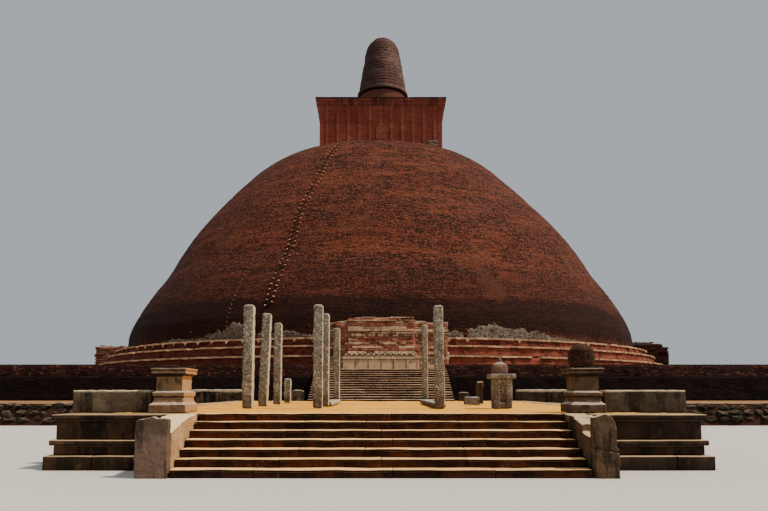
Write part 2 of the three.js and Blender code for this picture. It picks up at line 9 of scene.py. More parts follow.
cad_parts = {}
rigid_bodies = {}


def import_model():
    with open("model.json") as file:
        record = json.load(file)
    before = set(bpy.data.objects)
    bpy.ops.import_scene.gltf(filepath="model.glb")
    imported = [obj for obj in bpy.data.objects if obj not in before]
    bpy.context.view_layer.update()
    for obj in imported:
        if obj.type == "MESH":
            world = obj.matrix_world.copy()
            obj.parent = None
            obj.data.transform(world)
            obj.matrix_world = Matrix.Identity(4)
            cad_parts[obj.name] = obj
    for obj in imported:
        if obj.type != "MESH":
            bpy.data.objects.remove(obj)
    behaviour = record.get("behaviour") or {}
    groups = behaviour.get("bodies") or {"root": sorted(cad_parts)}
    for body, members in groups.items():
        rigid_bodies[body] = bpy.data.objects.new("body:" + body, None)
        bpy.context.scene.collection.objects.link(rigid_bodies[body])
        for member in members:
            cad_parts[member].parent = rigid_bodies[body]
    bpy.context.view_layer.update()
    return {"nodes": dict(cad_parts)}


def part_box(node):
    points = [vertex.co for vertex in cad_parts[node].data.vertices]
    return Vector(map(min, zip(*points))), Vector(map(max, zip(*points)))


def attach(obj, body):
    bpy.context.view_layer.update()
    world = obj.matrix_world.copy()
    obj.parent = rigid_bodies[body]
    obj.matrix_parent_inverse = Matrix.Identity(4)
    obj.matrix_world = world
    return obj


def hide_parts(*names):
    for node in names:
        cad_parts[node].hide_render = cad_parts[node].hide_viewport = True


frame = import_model()
print("stage: frame loaded")

quarterTurns = {"front": 0, "right": 1, "back": 2, "left": 3}
plainSides = ("right", "back", "left")


# Small helpers

def srgb(hexCode):
    channels = [int(hexCode[i:i + 2], 16) / 255 for i in (1, 3, 5)]
    linear = [c / 12.92 if c <= 0.04045 else ((c + 0.055) / 1.055) ** 2.4 for c in channels]
    return (*linear, 1.0)


def addNode(tree, kind, settings=None, inputs=None):
    node = tree.nodes.new(kind)
    for key, value in (settings or {}).items():
        setattr(node, key, value)
    for key, value in (inputs or {}).items():
        socket = node.inputs[key]
        if isinstance(value, bpy.types.NodeSocket):
            tree.links.new(value, socket)
        else:
            socket.default_value = value
    return node


def softNoise(point, size, octaves=4):  # about -1 to 1, with features of the given size in metres
    return noise.fractal(point / size, 1.0, 2.0, octaves)


def spin(turns):
    return Matrix.Rotation(turns * math.pi / 2, 4, "Z")


def between(start, end, share):
    return start + (end - start) * share


def meshFrom(body, name):
    mesh = bpy.data.meshes.new(name)
    body.to_mesh(mesh)
    body.free()
    return mesh


def linked(name, mesh):
    piece = bpy.data.objects.new(name, mesh)
    bpy.context.scene.collection.objects.link(piece)
    return piece


def newPiece(name, vertices, faces, smooth=True, tones=None, shell=True):
    body = bmesh.new()
    corners = [body.verts.new(v) for v in vertices]
    for face in faces:
        body.faces.new([corners[i] for i in face])
    if shell:
        bmesh.ops.recalc_face_normals(body, faces=body.faces[:])
    mesh = meshFrom(body, name)
    if tones:
        mesh.attributes.new("tone", "FLOAT", "POINT").data.foreach_set("value", tones)
    if smooth:
        mesh.shade_smooth()
    return linked(name, mesh)


def rowsPiece(name, rows, ends="capped", smooth=True, tones=None):
    # rings of points with a cap at both ends, looped rings that come back to the first, or an open sheet
    count = len(rows[0])
    faces = []
    for r in range(len(rows) if ends == "looped" else len(rows) - 1):
        start, above = r * count, (r + 1) % len(rows) * count
        for i in range(count - 1 if ends == "open" else count):
            after = (i + 1) % count
            faces.append((start + i, start + after, above + after, above + i))
    if ends == "capped":
        last = (len(rows) - 1) * count
        faces.append(tuple(reversed(range(count))))
        faces.append(tuple(range(last, last + count)))
    return newPiece(name, [p for row in rows for p in row], faces, smooth, tones, shell=ends != "open")


def rayAt(angle):
    return Vector((math.cos(angle), math.sin(angle), 0))


def roundRow(middle, z, radius, columns, insetAt):
    row = []
    for c in range(columns):
        ray = rayAt(2 * math.pi * c / columns)
        p = ray * radius + Vector((middle.x, middle.y, z))
        row.append(p - ray * min(insetAt(p, ray), radius * 0.7))
    return row


def settle(piece):  # live modifiers become a plain mesh
    depsgraph = bpy.context.evaluated_depsgraph_get()
    mesh = bpy.data.meshes.new_from_object(
        piece.evaluated_get(depsgraph), preserve_all_data_layers=True, depsgraph=depsgraph)
    piece.modifiers.clear()
    spent = piece.data
    piece.data = mesh
    mesh.name = piece.name
    bpy.data.meshes.remove(spent)
    return piece


def thicken(piece, thickness):
    solidify = piece.modifiers.new("thickness", "SOLIDIFY")
    solidify.thickness = thickness
    solidify.offset = -1.0
    return settle(piece)


def joinPieces(name, pieces):
    merged = bmesh.new()
    materials = []
    for piece in pieces:
        start = len(merged.faces)
        merged.from_mesh(piece.data)
        merged.faces.ensure_lookup_table()
        places = []
        for material in list(piece.data.materials) or [None]:
            if material not in materials:
                materials.append(material)
            places.append(materials.index(material))
        for face in merged.faces[start:]:
            face.material_index = places[face.material_index]
    mesh = meshFrom(merged, name)
    for material in materials:
        mesh.materials.append(material)
    for piece in pieces:
        bpy.data.objects.remove(piece)
    return linked(name, mesh)


def copyPiece(piece, name, transform):
    twin = linked(name, piece.data.copy())
    twin.data.transform(transform)
    if transform.determinant() < 0:
        twin.data.flip_normals()
    return twin


def grounded(piece, clearance=0.0003):  # nothing sinks below the ground that the model stands on
    for vertex in piece.data.vertices:
        vertex.co.z = max(vertex.co.z, clearance)
    return piece


def paint(piece, material):
    piece.data.materials.clear()
    piece.data.materials.append(material)
    return piece


def mountPiece(piece, slotName, *nodes):
    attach(piece, "root")
    if nodes:
        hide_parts(*nodes)
    return piece


# Masonry finishes. All of them are fired brick or split gneiss, dull and dry, so roughness stays high.

weathering = {
    "detail": 5.0, "grain": 0.62, "shift": (3.7, 1.9), "noseEdge": 0.06, "noseLeast": 0.25,
    "noseBreaks": (0.36, 0.52), "topStray": 0.5, "underShadeRange": (-0.1, -0.6), "paintedSunlitMost": 0.85,
    "bumpStrength": 0.7, "wanderRange": (0.3, 0.7), "roughness": (0.86, 0.98), "gloss": 0.15,
}


def weatheredMaterial(name, look):
    material = bpy.data.materials.new(name)
    material.use_nodes = True
    tree = material.node_tree
    tree.nodes.clear()
    place = addNode(tree, "ShaderNodeTexCoord").outputs["Object"]
    along = addNode(tree, "ShaderNodeSeparateXYZ", None, {"Vector": place}).outputs
    normal = addNode(tree, "ShaderNodeNewGeometry").outputs["Normal"]
    facing = addNode(tree, "ShaderNodeSeparateXYZ", None, {"Vector": normal}).outputs
    wander = addNode(tree, "ShaderNodeTexNoise", None, {
        "Vector": place, "Scale": 1 / look["wanderSize"], "Detail": 4.0, "Roughness": 0.65}).outputs["Fac"]
    strays = addNode(tree, "ShaderNodeMath", {"operation": "SUBTRACT"}, {0: wander, 1: 0.5}).outputs["Value"]
    layers = []  # each has the values that it follows with their from and to, then its amount and colour
    height = 0.0
    for number, (size, squeeze, low, high, amount, hexCode, relief) in enumerate(look["stains"]):
        shift = [number * v for v in weathering["shift"]]
        shifted = addNode(tree, "ShaderNodeMapping", None, {
            "Vector": place, "Location": (*shift, 0.0), "Scale": (1, 1, squeeze)})
        spots = addNode(tree, "ShaderNodeTexNoise", None, {
            "Vector": shifted.outputs["Vector"], "Scale": 1 / size, "Detail": weathering["detail"],
            "Roughness": weathering["grain"]}).outputs["Fac"]
        layers.append(([(spots, low, high)], amount, hexCode))
        if relief:
            height = addNode(tree, "ShaderNodeMath", {"operation": "MULTIPLY_ADD"}, {
                0: spots, 1: relief, 2: height}).outputs["Value"]
    for axis, low, high, soft, stray, amount, hexCode in look.get("bands", []):  # stretches of grime and of paler stone; on some finishes a band is painted shade on one side
        moved = addNode(tree, "ShaderNodeMath", {"operation": "MULTIPLY_ADD"}, {
            0: strays, 1: stray, 2: along[axis]}).outputs["Value"]
        ends = [(moved, low - soft, low + soft), (moved, high + soft, high - soft)]
        layers.append((ends, amount, hexCode))
    if "noses" in look:  # painted sunlight: a pale band along the front edge of every tread
        low, rise, share, amount, hexCode = look["noses"]
        climbed = addNode(tree, "ShaderNodeMath", {"operation": "MULTIPLY_ADD"}, {
            0: along["Z"], 1: 1 / rise, 2: -low / rise})
        within = addNode(tree, "ShaderNodeMath", {"operation": "FRACT"}, {
            0: climbed.outputs["Value"]}).outputs["Value"]
        breaks = weathering["noseBreaks"]
        broken = addNode(tree, "ShaderNodeMapRange", None, {
            "Value": wander, "From Min": breaks[0], "From Max": breaks[1],
            "To Min": weathering["noseLeast"] * amount, "To Max": amount})
        edge, soft = 1 - share, weathering["noseEdge"]
        layers.append(([(within, edge - soft, edge + soft)], broken.outputs["Result"], hexCode))
    if "top" in look:  # dust, sand and bleached lichen, together with painted sunlight, on what faces up
        hexCode, low, high = look["top"]
        patchy = addNode(tree, "ShaderNodeMath", {"operation": "MULTIPLY_ADD"}, {
            0: strays, 1: weathering["topStray"], 2: facing["Z"]})
        layers.append(([(patchy.outputs["Value"], low, high)], 1.0, hexCode))
    if "under" in look:  # painted shade: faces that turn downwards are mixed towards a dark colour
        layers.append(([(facing["Z"], *weathering["underShadeRange"])], 1.0, look["under"]))
    if "paintedSunlitSide" in look:  # painted sunlight: faces turned to the right, towards the sun, are mixed towards a lighter colour
        hexCode, low, high = look["paintedSunlitSide"]
        layers.append(([(facing["X"], low, high)], weathering["paintedSunlitMost"], hexCode))
    colour = srgb(look["base"])
    for follows, amount, hexCode in layers:
        for value, low, high in follows:
            amount = addNode(tree, "ShaderNodeMapRange", {"interpolation_type": "SMOOTHSTEP"}, {
                "Value": value, "From Min": low, "From Max": high, "To Max": amount}).outputs["Result"]
        colour = addNode(tree, "ShaderNodeMix", {"data_type": "RGBA"}, {
            0: amount, 6: colour, 7: srgb(hexCode)}).outputs[2]
    if "tone" in look:  # each stone keeps its own lightness, stored when it was laid
        tone = addNode(tree, "ShaderNodeAttribute", {"attribute_name": "tone"})
        value = addNode(tree, "ShaderNodeMapRange", None, {
            "Value": tone.outputs["Fac"], "To Min": 1 - look["tone"], "To Max": 1 + look["tone"]})
        colour = addNode(tree, "ShaderNodeHueSaturation", None, {
            "Color": colour, "Value": value.outputs["Result"]}).outputs["Color"]
    bump = addNode(tree, "ShaderNodeBump", None, {
        "Strength": look.get("bumpStrength", weathering["bumpStrength"]), "Distance": look["bump"],
        "Height": height})
    (low, high), (least, most) = weathering["wanderRange"], weathering["roughness"]
    dullness = addNode(tree, "ShaderNodeMapRange", None, {
        "Value": wander, "From Min": low, "From Max": high, "To Min": least, "To Max": most})
    shader = addNode(tree, "ShaderNodeBsdfPrincipled", None, {
        "Base Color": colour, "Roughness": dullness.outputs["Result"],
        "Specular IOR Level": weathering["gloss"], "Normal": bump.outputs["Normal"]})
    addNode(tree, "ShaderNodeOutputMaterial", None, {"Surface": shader.outputs["BSDF"]})
    return material


# Stains are: size in metres, how many times finer upwards, from, to, amount, colour, relief.
# Bands are: axis, from, to, how soft, how far they stray, amount, colour.
# A real brick course is 50 mm, 5 mm here: too fine to show on the dome, so courses are drawn in streaks
# of 15 to 60 mm.
domeBrick = weatheredMaterial("weatheredDomeBrick", {  # fired clay, open-pored, blackened by lichen
    "base": "#3e160c", "wanderSize": 0.6, "bump": 0.02, "bumpStrength": 0.8,
    "stains": [
        (1.1, 1.5, 0.44, 0.60, 0.75, "#542516", 0.0), (0.7, 2.6, 0.50, 0.62, 0.65, "#1f0906", 0.3),
        (1.5, 7, 0.46, 0.56, 0.85, "#190806", 0.3), (1.1, 8, 0.50, 0.59, 0.78, "#7a3e29", 0.2),
        (0.26, 9, 0.49, 0.57, 0.78, "#190805", 0.6), (0.14, 7, 0.49, 0.57, 0.78, "#6e3724", 0.4),
        (0.06, 4, 0.49, 0.41, 0.82, "#120503", 0.6), (0.026, 2.2, 0.53, 0.60, 0.85, "#8e533e", 0.5),
        (0.022, 2.2, 0.47, 0.40, 0.85, "#100502", 0.5), (0.8, 0.6, 0.58, 0.70, 0.45, "#68402d", 0.0)],
    "bands": [
        (2, 0.90, 1.36, 0.06, 0.40, 0.72, "#120604"),
        (2, 0.70, 1.85, 0.22, 0.55, 0.35, "#1c0805"),
        # painted shade: the last band darkens the left side, away from the sun
        (0, -9.0, -2.9, 1.2, 0.9, 0.42, "#1e0806")]})
chamberBrick = weatheredMaterial("chamberBrick", {  # closer-laid brick, cleaner and redder
    "base": "#75382c", "wanderSize": 0.3, "bump": 0.004, "tone": 0.36,
    "stains": [
        (0.5, 1.4, 0.42, 0.62, 0.6, "#894d3e", 0.0), (0.08, 3, 0.50, 0.64, 0.45, "#49251f", 0.6),
        (0.16, 0.16, 0.54, 0.68, 0.6, "#3d1f1b", 0.0), (0.02, 2, 0.56, 0.70, 0.4, "#a36858", 0.4)],
    "bands": [(2, 4.40, 4.58, 0.03, 0.05, 0.6, "#371e1a")]})
corniceBrick = weatheredMaterial("corniceBrick", {  # same brick, streaked black by rain off the flat roof
    "base": "#7b3a30", "wanderSize": 0.25, "bump": 0.004,
    "stains": [
        (0.4, 1.4, 0.42, 0.62, 0.5, "#924c3c", 0.0), (0.11, 0.14, 0.48, 0.60, 0.85, "#371d19", 0.0),
        (0.03, 4, 0.50, 0.62, 0.4, "#512721", 0.6)],
    "bands": [(2, 5.515, 6.0, 0.01, 0.04, 0.85, "#251613")], "under": "#3c201a"})
nicheBrick = weatheredMaterial("nicheBrick", {  # repaired with fresh, paler bricks
    "base": "#844a38", "wanderSize": 0.2, "bump": 0.003, "tone": 0.22,
    "stains": [
        (0.07, 3, 0.46, 0.62, 0.6, "#5c2c20", 0.5), (0.02, 2, 0.56, 0.70, 0.5, "#a86e58", 0.3)]})
spireBrick = weatheredMaterial("spireBrick", {  # ring-laid brick with remains of lime, brown and grey
    "base": "#593d36", "wanderSize": 0.25, "bump": 0.008, "under": "#120a0a",
    "stains": [
        (0.4, 1.5, 0.42, 0.62, 0.7, "#725951", 0.0), (0.2, 6, 0.48, 0.62, 0.65, "#31211d", 0.7),
        (0.05, 2, 0.46, 0.34, 0.55, "#221613", 0.5), (0.04, 2, 0.58, 0.70, 0.55, "#907f78", 0.4)],
    # painted shade: the first band darkens the spire's left half, away from the sun
    "bands": [(0, -0.6, 0.02, 0.16, 0.3, 0.6, "#221919"), (2, 5.5, 6.11, 0.02, 0.03, 0.65, "#653727")]})
ringBrick = weatheredMaterial("ringBrick", {  # orange-red facing brick, with painted shade towards the left
    "base": "#824334", "wanderSize": 0.3, "bump": 0.006,
    "stains": [
        (0.5, 2, 0.42, 0.62, 0.6, "#9a573f", 0.0), (0.14, 3, 0.49, 0.60, 0.75, "#48231e", 0.6),
        (0.10, 0.35, 0.52, 0.64, 0.7, "#311917", 0.0), (0.03, 2, 0.56, 0.68, 0.5, "#ae7b6a", 0.4)],
    "bands": [(0, -9.0, -0.7, 0.9, 0.8, 0.66, "#331815")], "top": ("#976d63", 0.6, 1.0)})
frontBrick = weatheredMaterial("frontispieceBrick", {  # the same brick, laid between stone courses
    "base": "#985a46", "wanderSize": 0.2, "bump": 0.004, "tone": 0.3,
    "stains": [
        (0.3, 1.5, 0.42, 0.62, 0.6, "#b67f65", 0.0), (0.07, 2, 0.50, 0.62, 0.7, "#45251e", 0.6),
        (0.025, 1, 0.56, 0.68, 0.5, "#d0ad97", 0.4)],
    # The second band is painted shade on the right-hand side, beyond x = 4.2.
    "bands": [(0, -9.0, -0.47, 0.06, 0.25, 0.5, "#2c120c"), (0, 4.2, 9.0, 0.3, 0.5, 0.75, "#241009")],
    "top": ("#9b806d", 0.6, 1.0)})
retainingBrick = weatheredMaterial("retainingWallBrick", {  # damp brick gone nearly black, redder on top
    "base": "#291512", "wanderSize": 0.12, "bump": 0.012, "bumpStrength": 0.9,
    "stains": [
        (0.3, 2, 0.44, 0.62, 0.6, "#3b1f19", 0.0), (0.09, 4, 0.50, 0.62, 0.7, "#130a09", 0.8),
        (0.03, 2.5, 0.56, 0.66, 0.8, "#7b4436", 0.7), (0.018, 2, 0.60, 0.70, 0.6, "#875849", 0.5)],
    "bands": [(2, 0.0, 0.243, 0.006, 0.03, 0.85, "#0b0707")], "top": ("#483329", 0.75, 1.1)})
terracePaving = weatheredMaterial("trampledPaving", {  # brick paving under a skin of sandy soil
    "base": "#3a2018", "wanderSize": 0.5, "bump": 0.004,
    "stains": [
        (0.15, 1, 0.52, 0.64, 0.6, "#24120d", 0.5), (0.03, 1, 0.56, 0.68, 0.4, "#6a4432", 0.4)],
    "top": ("#a07a54", 0.78, 1.08)})

# Gneiss splits into flat slabs of pale feldspar and dark mica. Its grains are 2 to 5 mm on the real
# stone and under 1 mm here, so they are drawn at about 4 mm to show at all.
gneissGrain = [
    (0.0042, 1, 0.56, 0.70, 0.30, "#a08a70", 0.3),
    (0.0036, 1, 0.46, 0.34, 0.50, "#2c231b", 0.35)]
copingStone = weatheredMaterial("ringCopingStone", {  # bleached slabs along the rings
    "base": "#ac8769", "wanderSize": 0.2, "bump": 0.003, "tone": 0.3,
    "stains": [
        (0.25, 1, 0.44, 0.62, 0.7, "#cfac88", 0.0), (0.05, 1, 0.52, 0.64, 0.5, "#6b4d3b", 0.6)],
    "top": ("#e0c2a2", 0.3, 0.9), "under": "#412c23"})
paleStone = weatheredMaterial("limewashedStone", {  # stone that still has its lime, nearly white in the sun
    "base": "#b9a48c", "wanderSize": 0.05, "bump": 0.002, "tone": 0.2,
    "stains": [
        (0.06, 1, 0.44, 0.62, 0.6, "#d8c6ae", 0.0), (0.02, 1, 0.52, 0.62, 0.6, "#6e5a48", 0.4)],
    "top": ("#f0e0c8", 0.2, 0.8), "under": "#2a2019"})
frontStone = weatheredMaterial("frontispieceStone", {  # carved blocks, chipped, pale ochre
    "base": "#ac9071", "wanderSize": 0.15, "bump": 0.004, "tone": 0.38,
    "stains": [
        (0.16, 1.4, 0.44, 0.62, 0.7, "#cfb390", 0.0), (0.05, 1, 0.52, 0.62, 0.75, "#5d4437", 0.7),
        (0.018, 1, 0.58, 0.68, 0.5, "#eeddbe", 0.4)],
    "top": ("#e3ceae", 0.35, 0.9), "under": "#34241e"})
altarStone = weatheredMaterial("altarStone", {  # smooth-dressed slabs, the palest stone of all
    "base": "#be9f7e", "wanderSize": 0.12, "bump": 0.002, "tone": 0.14,
    "stains": [
        (0.14, 1, 0.44, 0.62, 0.6, "#d4b897", 0.0), (0.06, 0.6, 0.54, 0.66, 0.6, "#7c604b", 0.4)],
    "top": ("#eed3b3", 0.35, 0.9), "under": "#423026"})
stepStone = weatheredMaterial("treadStone", {  # pale walked-on nosings over risers dark with damp and with painted shade
    "base": "#3a1c11", "wanderSize": 0.03, "bump": 0.0025, "tone": 0.2,
    "stains": [
        (0.14, 0.7, 0.46, 0.60, 0.6, "#54290f", 0.0), (0.06, 0.25, 0.46, 0.58, 0.8, "#120806", 0.3),
        (0.012, 0.2, 0.50, 0.62, 0.6, "#1c0e0c", 0.4), (0.008, 0.6, 0.60, 0.70, 0.4, "#80522c", 0.3)],
    "top": ("#f8c684", 0.55, 0.92), "under": "#0f0805"})
upperLow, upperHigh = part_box("upper_stair_front")
upperNoses = (upperLow.z, (upperHigh.z - upperLow.z) / 14, 0.34, 0.62, "#a47658")
upperStepStone = weatheredMaterial("upperTreadStone", {  # the same further off, more broken, with a band of painted sunlight along each tread's front edge
    "base": "#22130c", "wanderSize": 0.12, "bump": 0.003, "tone": 0.25, "noses": upperNoses,
    "stains": [
        (0.2, 1.4, 0.44, 0.62, 0.6, "#38241a", 0.0), (0.05, 0.5, 0.48, 0.60, 0.7, "#170d08", 0.4),
        (0.02, 0.6, 0.58, 0.68, 0.5, "#7c5c48", 0.3)],
    "top": ("#fbdcb8", 0.5, 0.95), "under": "#0c0603"})
porchStone = weatheredMaterial("porchStone", {  # moulded slabs, black with old growth, pale on ledges; the band is painted shade on the right-hand side
    "base": "#332318", "wanderSize": 0.05, "bump": 0.0025, "tone": 0.2,
    "stains": [
        (0.1, 1, 0.44, 0.62, 0.7, "#523a29", 0.0), (0.045, 0.25, 0.48, 0.59, 0.8, "#150f0a", 0.5),
        (0.012, 0.5, 0.56, 0.68, 0.35, "#6b523a", 0.3)],
    "bands": [(0, 0.44, 9.0, 0.02, 0.04, 0.45, "#151311")],
    "top": ("#b4976f", 0.3, 0.85), "under": "#0b0704"})
farParapetStone = weatheredMaterial("drippedParapetStone", {  # the same, nearly black with drips
    "base": "#33261c", "wanderSize": 0.05, "bump": 0.003,
    "stains": [
        (0.06, 0.4, 0.46, 0.60, 0.7, "#6b5a45", 0.0), (0.03, 0.15, 0.47, 0.56, 0.9, "#0f0b08", 0.4)],
    "bands": [(2, 0.1545, 1.0, 0.003, 0.016, 0.85, "#a8957a")],
    "top": ("#d0bc9c", 0.35, 0.85)})
parapetStone = weatheredMaterial("parapetStone", {  # rain has drawn dark drips down from its pale top; the first band is painted shade on the right-hand side
    "base": "#524436", "wanderSize": 0.05, "bump": 0.0025,
    "stains": [
        (0.07, 1, 0.44, 0.62, 0.6, "#6d5e4c", 0.0), (0.035, 0.2, 0.48, 0.58, 0.85, "#1b1511", 0.4),
        *gneissGrain],
    "bands": [(0, 0.30, 9.0, 0.02, 0.05, 0.45, "#251e18"), (2, 0.1585, 1.0, 0.0015, 0.008, 0.65, "#b09c80")],
    "top": ("#d0bc9c", 0.35, 0.85)})
guardStone = weatheredMaterial("guardStoneGneiss", {  # worn smooth, grey-brown, with a few drips
    "base": "#675246", "wanderSize": 0.04, "bump": 0.002,
    "stains": [
        (0.06, 1, 0.44, 0.62, 0.6, "#7c6756", 0.0), (0.028, 0.2, 0.51, 0.61, 0.8, "#2b211b", 0.3),
        *gneissGrain],
    "bands": [(2, 0.078, 1.0, 0.01, 0.06, 0.45, "#2f251e")], "top": ("#a38f75", 0.45, 0.9)})
shadedGuardStone = weatheredMaterial("shadedGneiss", {  # painted shade: the same gneiss made browner and darker for the parts in shade
    "base": "#4b3829", "wanderSize": 0.04, "bump": 0.002,
    "stains": [
        (0.05, 1, 0.44, 0.62, 0.6, "#5f4a37", 0.0), (0.028, 0.2, 0.50, 0.60, 0.8, "#201711", 0.3),
        *gneissGrain],
    "top": ("#c6a987", 0.40, 0.85)})
rampStone = weatheredMaterial("rampGneiss", {  # rubbed pale and warm by hands and rain
    "base": "#a78661", "wanderSize": 0.04, "bump": 0.002,
    "stains": [
        (0.05, 1, 0.44, 0.62, 0.6, "#c5a278", 0.0), (0.02, 0.5, 0.56, 0.68, 0.6, "#57412d", 0.3),
        *gneissGrain],
    "top": ("#f4d3a1", 0.4, 0.85)})
pedestalStone = weatheredMaterial("pedestalGneiss", {  # dressed blocks, brown; painted shade darkens the right-hand pedestal, painted sunlight lightens faces turned to the right
    "base": "#6b523c", "wanderSize": 0.04, "bump": 0.002,
    "stains": [
        (0.05, 1, 0.44, 0.62, 0.6, "#866a4f", 0.0), (0.02, 0.5, 0.52, 0.64, 0.7, "#2e221d", 0.4),
        *gneissGrain[:1]],
    "bands": [(0, 0.3, 9.0, 0.02, 0.05, 0.5, "#2b2119")],
    "top": ("#bfaf9f", 0.35, 0.85), "under": "#1f1715", "paintedSunlitSide": ("#b48a60", 0.5, 0.8)})
pillarStone = weatheredMaterial("hewnPillarGneiss", {  # rough-split, coarse-grained, weathered grey, with painted sunlight on faces turned to the right
    "base": "#6d685c", "wanderSize": 0.04, "bump": 0.004, "bumpStrength": 0.9,
    "stains": [
        (0.04, 0.6, 0.44, 0.60, 0.7, "#847f73", 0.3), (0.018, 0.5, 0.50, 0.62, 0.45, "#423c35", 0.6),
        (0.005, 1, 0.54, 0.63, 0.72, "#c0bdb7", 0.5), (0.0045, 1, 0.46, 0.38, 0.76, "#191817", 0.5)],
    "bands": [(2, 0.0, 0.15, 0.02, 0.06, 0.55, "#39291b")], "top": ("#a69e90", 0.4, 0.9),
    "paintedSunlitSide": ("#c6baa0", 0.45, 0.8)})
ballStone = weatheredMaterial("ballGneiss", {  # a turned stone gone nearly black with growth
    "base": "#2a170e", "wanderSize": 0.02, "bump": 0.002,
    "stains": [
        (0.03, 1, 0.44, 0.62, 0.6, "#3c2318", 0.0), (0.014, 0.6, 0.50, 0.62, 0.7, "#100705", 0.4),
        *gneissGrain[:1]],
    "top": ("#4c3124", 0.4, 0.95)})
potStone = weatheredMaterial("potStone", {  # smooth-turned, faintly pink
    "base": "#644d41", "wanderSize": 0.02, "bump": 0.001,
    "stains": [
        (0.02, 1, 0.44, 0.62, 0.6, "#766054", 0.0), (0.012, 0.5, 0.54, 0.64, 0.6, "#3a2a23", 0.4)],
    "top": ("#9b8d7f", 0.4, 0.95)})
rubbleStone = weatheredMaterial("fieldStone", {  # unsorted field stone, laid dry
    "base": "#261f19", "wanderSize": 0.08, "bump": 0.004, "tone": 0.45,
    "stains": [
        (0.09, 1, 0.44, 0.62, 0.6, "#362e25", 0.0), (0.03, 1, 0.50, 0.62, 0.7, "#0d0907", 0.6),
        *gneissGrain[:1]],
    "top": ("#554b3d", 0.3, 0.9), "under": "#040302"})
mortarRubble = weatheredMaterial("mortaredCore", {  # clay mortar and chips, bared where facing brick fell
    "base": "#746557", "wanderSize": 0.06, "bump": 0.012, "bumpStrength": 0.9, "tone": 0.3,
    "stains": [
        (0.10, 1.2, 0.44, 0.60, 0.7, "#948775", 0.3), (0.035, 1.4, 0.48, 0.60, 0.75, "#352a22", 0.8),
        (0.02, 1, 0.56, 0.66, 0.6, "#b6ae9e", 0.6)]})
sandFloor = weatheredMaterial("sandedFloor", {  # swept sand over the floor slabs
    "base": "#eaa53a", "wanderSize": 0.2, "bump": 0.002,
    "stains": [
        (0.3, 1, 0.44, 0.62, 0.6, "#f8b747", 0.0), (0.04, 1, 0.54, 0.66, 0.4, "#be8129", 0.4),
        (0.008, 1, 0.56, 0.68, 0.4, "#facd5b", 0.4)]})
print("stage: materials mixed")


# Geometry Nodes that lay stones on a list of spots

heaps = {  # dressed blocks have a worn front edge, field stones are chunks with the given number of corners
    "dressed": {"count": 5, "roughness": 0.05, "edge": 0.06, "foot": 1.0, "corners": 0},
    "rough": {"count": 7, "roughness": 0.10, "edge": 0.0, "foot": 1.0, "corners": 15},
    "wedge": {"count": 4, "roughness": 0.08, "edge": 0.05, "foot": 0.25, "corners": 0},
}
chunk = {"turn": 2.4, "boxiness": 5, "shortest": 0.85, "waves": 2.3, "seedStep": 7.1, "firstSeed": 4}


def looseStone(name, seed, heap):
    rng = random.Random(seed)
    body = bmesh.new()
    if heap["corners"]:
        for k in range(heap["corners"]):
            level = 1 - 2 * (k + 0.5) / heap["corners"]
            ray = rayAt(k * chunk["turn"] + seed) * math.sqrt(1 - level * level)
            ray.z = level
            boxy = sum(abs(v) ** chunk["boxiness"] for v in ray) ** (1 / chunk["boxiness"])
            body.verts.new(ray * (0.5 / boxy) * rng.uniform(chunk["shortest"], 1.0))
        hull = bmesh.ops.convex_hull(body, input=body.verts[:])
        bmesh.ops.delete(body, geom=hull["geom_interior"], context="VERTS")
    else:
        bmesh.ops.create_cube(body, size=1.0)
        front = [edge for edge in body.edges if all(v.co.y < 0 for v in edge.verts)]
        bmesh.ops.bevel(body, geom=front, offset=heap["edge"], segments=1, affect="EDGES", profile=0.5)
    drift = Vector((seed * chunk["seedStep"], 0, 0))
    for vertex in body.verts:
        vertex.co.x *= heap["foot"] + (1 - heap["foot"]) * (vertex.co.z + 0.5)
        vertex.co += noise.noise_vector(vertex.co * chunk["waves"] + drift) * heap["roughness"]
    bmesh.ops.recalc_face_normals(body, faces=body.faces[:])
    return bpy.data.objects.new(name, meshFrom(body, name))


def stoneHeap(name):
    stones = bpy.data.collections.new(name)
    for number in range(heaps[name]["count"]):
        stones.objects.link(looseStone(f"{name}{number}", number + chunk["firstSeed"], heaps[name]))
    bpy.context.scene.collection.children.link(stones)
    return stones


def clearHeap(heap):
    for part in list(heap.objects):
        bpy.data.objects.remove(part)
    bpy.data.collections.remove(heap)


def newTree(name, sockets, made):
    tree = bpy.data.node_groups.new(name, "GeometryNodeTree")
    tree.is_modifier = True
    for label, kind in sockets.items():
        tree.interface.new_socket(label, in_out="INPUT", socket_type="NodeSocket" + kind)
    tree.interface.new_socket(made, in_out="OUTPUT", socket_type="NodeSocketGeometry")
    return tree, addNode(tree, "NodeGroupInput").outputs


